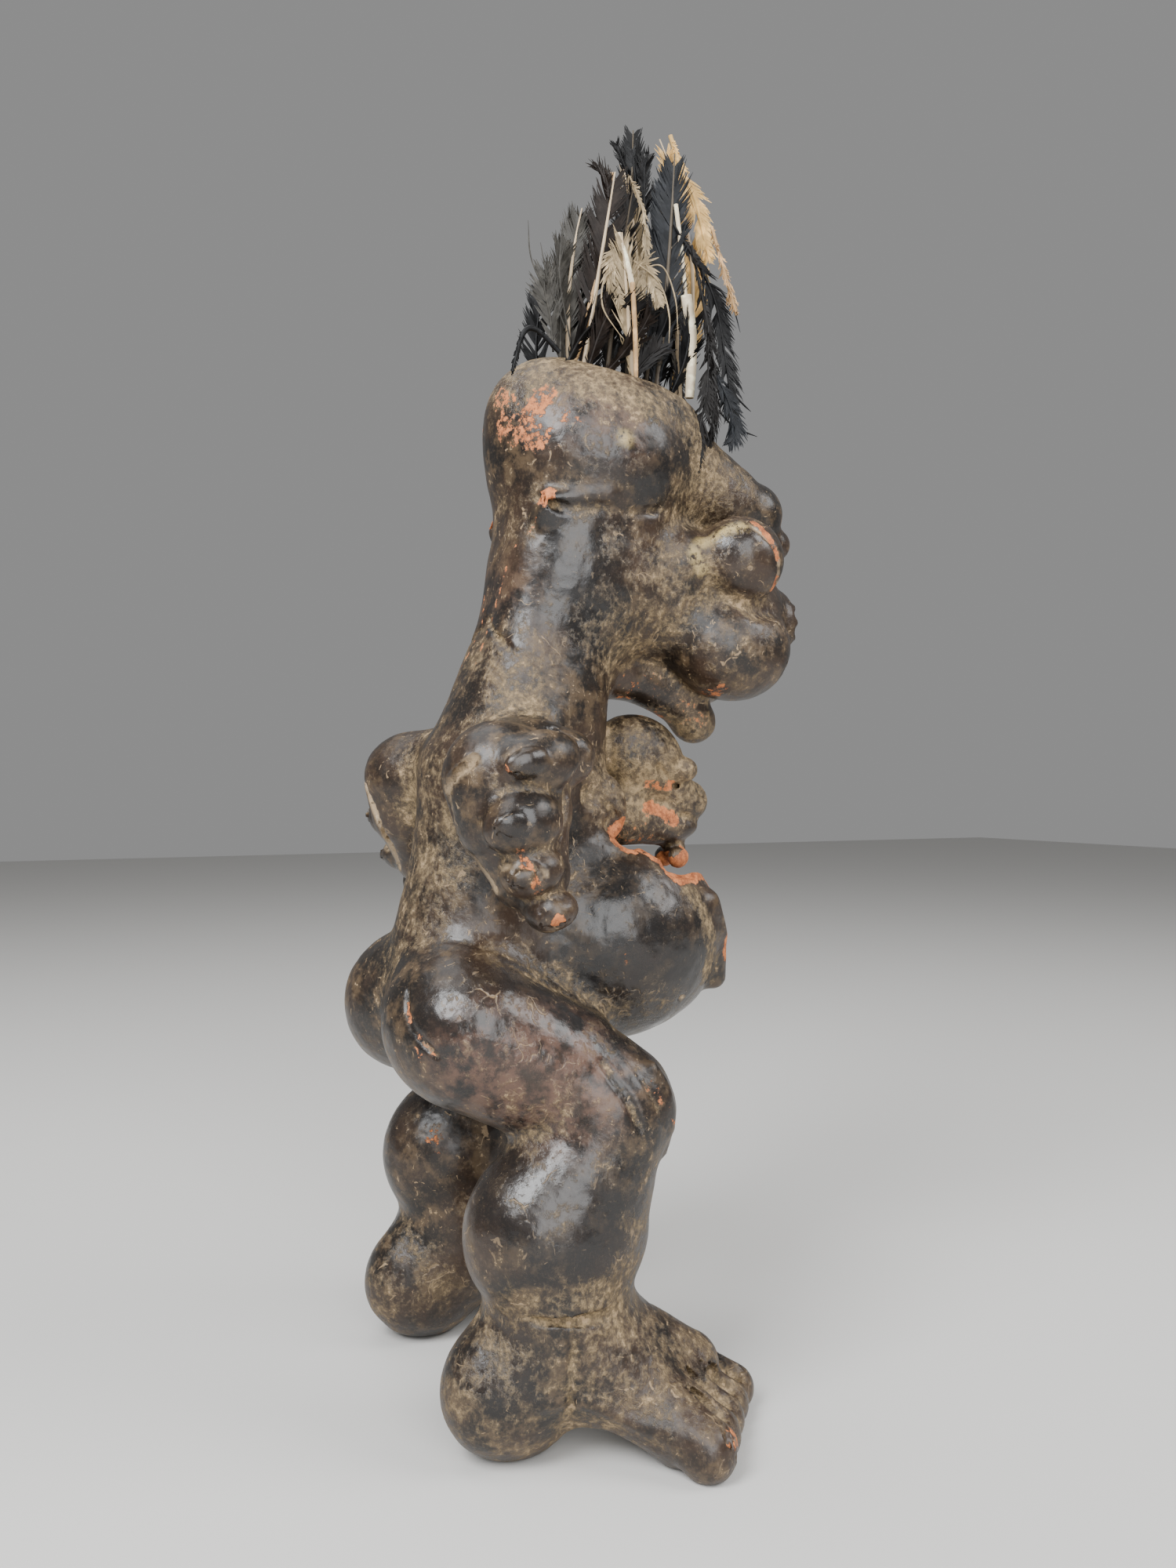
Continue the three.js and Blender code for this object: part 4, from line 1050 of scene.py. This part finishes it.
VANE_COLOURS = {
    "brown": (0.0090, 0.0054, 0.0036),
    "dark": (0.0042, 0.0033, 0.0029),
    "grey": (0.036, 0.033, 0.028),
    "cream": (0.260, 0.200, 0.120),
    "black": (0.0030, 0.0030, 0.0034),
    "slate": (0.0076, 0.0086, 0.0105),
    "white": (0.060, 0.052, 0.042),
    "yellow": (0.520, 0.330, 0.120),
    "quill": (0.620, 0.520, 0.370),
    "horn": (0.340, 0.210, 0.100),
}
SHAFT_COLOUR = (0.50, 0.39, 0.26)
NEAR_BLACK = ("black", "dark", "slate")
BARE_SHAFTS = ("quill", "horn")
FEATHER_SEED = 100
WISP_SEED = 300

# How wide a barb is from its root to its tip, as shares of its full width

BARB_TAPER = (1, 1, 1, 0.9, 0.6, 0.15)


class Strands:
    """Thin ribbons of points, gathered into one mesh."""

    def __init__(self):
        self.points = []
        self.squares = []
        self.pale = []

    def tube(self, path, radii, pale, sides=6):
        """A round shaft along a path."""
        path = np.asarray(path)
        first = len(self.points)
        for i, place in enumerate(path):
            way = path[min(i + 1, len(path) - 1)] - path[max(i - 1, 0)]
            way = way / np.linalg.norm(way)
            across = np.cross(way, [1.0, 0.2, 0.1])
            across = across / np.linalg.norm(across)
            other = np.cross(way, across)
            for side in range(sides):
                turn = 2 * math.pi * side / sides
                self.points.append(place + radii[i] * (math.cos(turn) * across + math.sin(turn) * other))
                self.pale.append(pale)
        for i in range(len(path) - 1):
            for side in range(sides):
                a = first + i * sides + side
                b = first + i * sides + (side + 1) % sides
                self.squares.append((a, b, b + sides, a + sides))

    def ribbon(self, path, widths, across, pale):
        """A flat strip along a path."""
        first = len(self.points)
        for place, width in zip(path, widths):
            self.points.append(place - 0.5 * width * across)
            self.points.append(place + 0.5 * width * across)
            self.pale += [pale, pale]
        for i in range(len(path) - 1):
            a = first + 2 * i
            self.squares.append((a, a + 1, a + 3, a + 2))

    def mesh(self, name):
        made = mesh_from(name, np.asarray(self.points), np.asarray(self.squares))
        paint(made, "pale", np.asarray(self.pale))
        return made


def feather_spine(feather, stations=22):
    """The shaft's places, from the quill's foot in the clay to the tip."""
    foot = at(feather.lane, PIT_FRONT + feather.front, PIT_FLOOR - QUILL_DEPTH)
    start = foot + [0, 0, BARE_QUILL]
    tip = np.array([feather.lane * 1.4, start[1] - feather.lean, PIT_FLOOR + feather.tall])
    elbow = (start + tip) / 2 + [0, -2 * feather.bow, 0]
    shares = np.linspace(0, 1, stations)[:, None]
    bend = (1 - shares) ** 2 * start + 2 * shares * (1 - shares) * elbow + shares**2 * tip
    return np.vstack([foot, bend])


def vane_profile(share):
    """The vane's width along the shaft, as a share of its widest."""
    return np.interp(share, [0, 0.14, 0.32, 0.55, 0.8, 0.97, 1], [0.15, 0.5, 1, 1, 0.85, 0.4, 0.1])


def add_barb(strands, random, place, way, broad, flat, half, clump, torn, width):
    """One barb, which leaves the shaft's way for its broad side and curves with its clump."""
    lift = math.radians(34 + 7 * clump + random.uniform(-5, 5))
    half = half * (1 + 0.16 * clump + random.uniform(-0.2, 0.2) * (0.5 + torn))
    reach = half / math.sin(lift)
    out = math.sin(lift) * broad + math.cos(lift) * way
    path = []
    for step in range(len(BARB_TAPER)):
        far = step / (len(BARB_TAPER) - 1)
        curve = (0.12 + 0.1 * clump * torn) * reach * far**2
        off = (1.0 * clump + random.uniform(-0.5, 0.5)) * far**1.5
        path.append(place + reach * far * out + curve * way + off * flat)
    across = np.cross(out, flat) + 0.35 * clump * flat
    across = across / np.linalg.norm(across)
    widths = [taper * width for taper in BARB_TAPER]
    strands.ribbon(path, widths, across, 0.25 * random.uniform() ** 2)


def barbs(strands, random, spine, wide, spacing, twist, torn, top):
    """A row of barbs on each side of a spine, clumped together and torn in places."""
    steps = np.linalg.norm(np.diff(spine, axis=0), axis=1)
    length = steps.sum()
    marks = np.concatenate([[0], np.cumsum(steps)]) / length
    count = max(4, int(length / spacing))

    def along(share):
        share = min(max(share, 0), 1)
        return np.array([np.interp(share, marks, spine[:, n]) for n in range(3)])

    for side in SIDES:
        drift = random.uniform(0, 10)
        for barb in range(count):
            share = 0.04 + 0.96 * (barb + random.uniform(-0.3, 0.3)) / count
            clump = math.sin(drift + 17 * share) + 0.7 * math.sin(2.3 * drift + 41 * share)
            if share > top or clump > 1.6 - 0.7 * torn or random.uniform() < 0.05 + 0.1 * torn:
                continue
            way = along(share + 0.03) - along(share - 0.03)
            way = way / np.linalg.norm(way)
            level = np.cross([1.0, 0, 0], way)
            level = level / np.linalg.norm(level)
            upright = np.cross(way, level)
            turn = math.radians(twist + 12 * clump)
            broad = side * (math.cos(turn) * level + math.sin(turn) * upright)
            flat = math.cos(turn) * upright - math.sin(turn) * level
            half = vane_profile(share) * wide / 2
            width = spacing * 1.4
            add_barb(strands, random, along(share), way, broad, flat, half, clump, torn, width)


def feather_strands(feather, number, spacing):
    """One standing feather: its shaft and its barbs."""
    random = np.random.default_rng(FEATHER_SEED + number)
    spine = feather_spine(feather)
    strands = Strands()
    shaft_radii = np.interp(np.linspace(0, 1, len(spine)), [0, 0.1, 0.6, 1], [1.2, 1.1, 0.7, 0.25])
    pale = 0.45 if feather.slot in NEAR_BLACK else 1.0
    strands.tube(spine, shaft_radii, pale)
    top = 0.98 if feather.slot == "black" else 0.94
    barbs(strands, random, spine[1:], feather.wide, spacing, feather.twist, feather.torn, top)
    return strands


def wisp_strands(slot, spacing):
    """The loose wisps, quills and hairs of one colour."""
    strands = Strands()
    for number, wisp in enumerate(WISPS):
        if wisp.slot != slot:
            continue
        random = np.random.default_rng(WISP_SEED + number)
        spine = np.asarray(smooth_path(places(*wisp.path), 8))
        end = wisp.thick * (0.8 if slot in BARE_SHAFTS else 0.3)
        radii = np.interp(np.linspace(0, 1, len(spine)), [0, 0.7, 1], [wisp.thick, wisp.thick, end])
        strands.tube(spine, radii, 0.0)
        if wisp.wide > 0:
            barbs(strands, random, spine, wisp.wide, spacing, random.uniform(-40, 40), 0.6, 0.97)
    return strands


def feather_material(slot):
    """Streaked vanes of one colour on pale shafts."""
    s = Shader("feather_" + slot)
    pale = s.attribute("pale")
    streaks = s.noise(260, 3, 0.6)
    colour = VANE_COLOURS[slot]
    light = tuple(min(1, 1.8 * part + 0.004) for part in colour)
    vane = s.mix(s.band(streaks, 0.45, 0.70), colour, light)
    s.put(s.surface.inputs["Base Color"], s.mix(s.band(pale, 0.3, 0.9), vane, SHAFT_COLOUR))
    s.surface.inputs["Roughness"].default_value = 0.50
    s.surface.inputs["Specular IOR Level"].default_value = 0.2
    return s.material


# Operators, settings and panel

class FigureSettings(bpy.types.PropertyGroup):
    """Sizes and colours of the figure and its stage"""

    cell: bpy.props.FloatProperty(
        name="Grid Cell",
        description="How finely the clay is worked, in millimetres",
        default=1.05,
        min=0.8,
        max=4.0,
    )
    triangles: bpy.props.IntProperty(
        name="Clay Triangles",
        description="How many triangles the clay surface keeps",
        default=196000,
        min=10000,
        max=199000,
    )
    uneven: bpy.props.FloatProperty(
        name="Unevenness",
        description="Height of the hand-worked dents in the clay, in millimetres",
        default=0.45,
        min=0.0,
        max=1.5,
    )
    slip_colour: bpy.props.FloatVectorProperty(
        name="Slip Colour",
        description="Colour of the darkest burnished slip",
        subtype="COLOR",
        size=3,
        default=(0.0080, 0.0058, 0.0045),
        min=0.0,
        max=1.0,
    )
    dirt_colour: bpy.props.FloatVectorProperty(
        name="Dirt Colour",
        description="Colour of the palest dirt in the hollows",
        subtype="COLOR",
        size=3,
        default=(0.300, 0.212, 0.108),
        min=0.0,
        max=1.0,
    )
    clay_colour: bpy.props.FloatVectorProperty(
        name="Clay Colour",
        description="Colour of the bare fired clay at breaks and chips",
        subtype="COLOR",
        size=3,
        default=(0.560, 0.190, 0.062),
        min=0.0,
        max=1.0,
    )
    barb_spacing: bpy.props.FloatProperty(
        name="Barb Spacing",
        description="Distance between a feather's barbs, in millimetres",
        default=0.55,
        min=0.3,
        max=2.0,
    )
    camera_distance: bpy.props.FloatProperty(
        name="Camera Distance",
        description="From the camera to the figure's axis",
        default=0.41,
        unit="LENGTH",
    )
    camera_height: bpy.props.FloatProperty(
        name="Camera Height",
        description="Height of the level camera above the floor",
        default=0.198,
        unit="LENGTH",
    )
    camera_angle: bpy.props.FloatProperty(
        name="Camera Angle",
        description="How far the camera stands behind the figure's right side",
        default=math.radians(25),
        subtype="ANGLE",
    )


class FETISH_OT_clay(bpy.types.Operator):
    """Model the clay figure"""

    bl_idname = "fetish.clay"
    bl_label = "Model Clay Figure"

    def execute(self, context):
        settings = context.scene.fetish
        grid = clay_grid(settings.cell)
        points, squares = skin_of(grid)
        push = settings.uneven * (hand_dents(points) - 0.6)
        points = points + push[:, None] * normals_of(grid, points)
        points[:, 2] = np.maximum(points[:, 2], 0)
        mesh = thinned(mesh_from("clay", points, squares), settings.triangles)
        paint_clay(mesh, grid)
        mesh.polygons.foreach_set("use_smooth", np.ones(len(mesh.polygons), dtype=bool))
        mesh.materials.clear()
        piece = piece_from("clay-figure", mesh, clay_material(settings))
        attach(piece, "root")
        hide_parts("figure")
        return {"FINISHED"}


class FETISH_OT_feathers(bpy.types.Operator):
    """Stand the feathers in the crown"""

    bl_idname = "fetish.feathers"
    bl_label = "Add Feathers"

    def execute(self, context):
        spacing = context.scene.fetish.barb_spacing
        materials = {slot: feather_material(slot) for slot in VANE_COLOURS}
        for number, feather in enumerate(FEATHERS):
            mesh = feather_strands(feather, number, spacing).mesh("feather-" + feather.name)
            piece = piece_from("vane-" + feather.name, mesh, materials[feather.slot])
            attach(piece, "root")
            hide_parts("feather-" + feather.name)
        for slot in VANE_COLOURS:
            strands = wisp_strands(slot, spacing)
            if not strands.points:
                continue
            piece = piece_from("wisps-" + slot, strands.mesh("wisps-" + slot), materials[slot])
            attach(piece, "root")
        return {"FINISHED"}


# The stage, in metres: each light's name, place, size, power and colour

LIGHTS = [
    ("window", (-0.40, 0.75, 0.95), (0.5, 0.6), 18.0, (0.97, 0.985, 1.0)),
    ("side", (-1.05, 0.20, 0.60), (0.8, 0.9), 14.0, (0.98, 0.99, 1.0)),
    ("front", (-0.60, -0.75, 0.95), (0.6, 0.6), 9.0, (1, 1, 1)),
    ("top", (0.3, 0.2, 1.3), (0.9, 0.9), 6.0, (1, 1, 1)),
]
LIT_POINT = (0, 0, 0.2)
FLOOR_REACH = 3.0
FLOOR_COLOUR = (0.62, 0.61, 0.59, 1)
ROOM_COLOUR = (0.84, 0.84, 0.84, 1)
ROOM_LIGHT = 0.33
SENSOR = 36.0
FOCAL_PIXELS = 1511
PHOTO_HEIGHT_PIXELS = 2000


def area_light(name, place, size, power, colour):
    """A soft lamp turned to the figure."""
    data = bpy.data.lights.new(name, "AREA")
    data.shape = "RECTANGLE"
    data.size, data.size_y = size
    data.energy = power
    data.color = colour
    lamp = bpy.data.objects.new(name, data)
    lamp.location = place
    lamp.rotation_euler = (Vector(LIT_POINT) - Vector(place)).to_track_quat("-Z", "Y").to_euler()
    bpy.context.scene.collection.objects.link(lamp)


class FETISH_OT_stage(bpy.types.Operator):
    """Set up the floor, the lights and the camera"""

    bl_idname = "fetish.stage"
    bl_label = "Set Up Stage"

    def execute(self, context):
        settings = context.scene.fetish
        floor = bpy.data.meshes.new("floor")
        corners = [(-1, -1), (1, -1), (1, 1), (-1, 1)]
        floor.from_pydata([(x * FLOOR_REACH, y * FLOOR_REACH, 0) for x, y in corners], [], [(0, 1, 2, 3)])
        s = Shader("pale_floor")
        s.surface.inputs["Base Color"].default_value = FLOOR_COLOUR
        s.surface.inputs["Roughness"].default_value = 0.9
        piece_from("floor", floor, s.material)
        world = bpy.data.worlds.new("studio")
        world.use_nodes = True
        background = world.node_tree.nodes["Background"]
        background.inputs["Color"].default_value = ROOM_COLOUR
        background.inputs["Strength"].default_value = ROOM_LIGHT
        context.scene.world = world
        for light in LIGHTS:
            area_light(*light)
        data = bpy.data.cameras.new("camera")
        data.sensor_width = SENSOR
        data.lens = SENSOR * FOCAL_PIXELS / PHOTO_HEIGHT_PIXELS
        data.dof.use_dof = False
        data.clip_start = 0.01
        camera = bpy.data.objects.new("camera", data)
        turn = settings.camera_angle
        reach = settings.camera_distance
        camera.location = (
            -reach * math.cos(turn),
            CENTRE_BACK * MM + reach * math.sin(turn),
            settings.camera_height,
        )
        way = Vector((math.cos(turn), -math.sin(turn), 0))
        camera.rotation_euler = way.to_track_quat("-Z", "Y").to_euler()
        context.scene.collection.objects.link(camera)
        context.scene.camera = camera
        return {"FINISHED"}


class FETISH_PT_panel(bpy.types.Panel):
    """The figure's settings and steps"""

    bl_idname = "FETISH_PT_panel"
    bl_label = "Clay Figure"
    bl_space_type = "VIEW_3D"
    bl_region_type = "UI"
    bl_category = "Clay Figure"

    def draw(self, context):
        settings = context.scene.fetish
        column = self.layout.column()
        for name in ("cell", "triangles", "uneven", "slip_colour", "dirt_colour", "clay_colour"):
            column.prop(settings, name)
        column.operator("fetish.clay")
        column.prop(settings, "barb_spacing")
        column.operator("fetish.feathers")
        for name in ("camera_distance", "camera_height", "camera_angle"):
            column.prop(settings, name)
        column.operator("fetish.stage")


CLASSES = (
    FigureSettings,
    FETISH_OT_clay,
    FETISH_OT_feathers,
    FETISH_OT_stage,
    FETISH_PT_panel,
)


def register():
    for kind in CLASSES:
        bpy.utils.register_class(kind)
    bpy.types.Scene.fetish = bpy.props.PointerProperty(type=FigureSettings)


def unregister():
    del bpy.types.Scene.fetish
    for kind in reversed(CLASSES):
        bpy.utils.unregister_class(kind)


def main():
    register()
    bpy.ops.fetish.clay()
    bpy.ops.fetish.feathers()
    bpy.ops.fetish.stage()


if __name__ == "__main__":
    main()
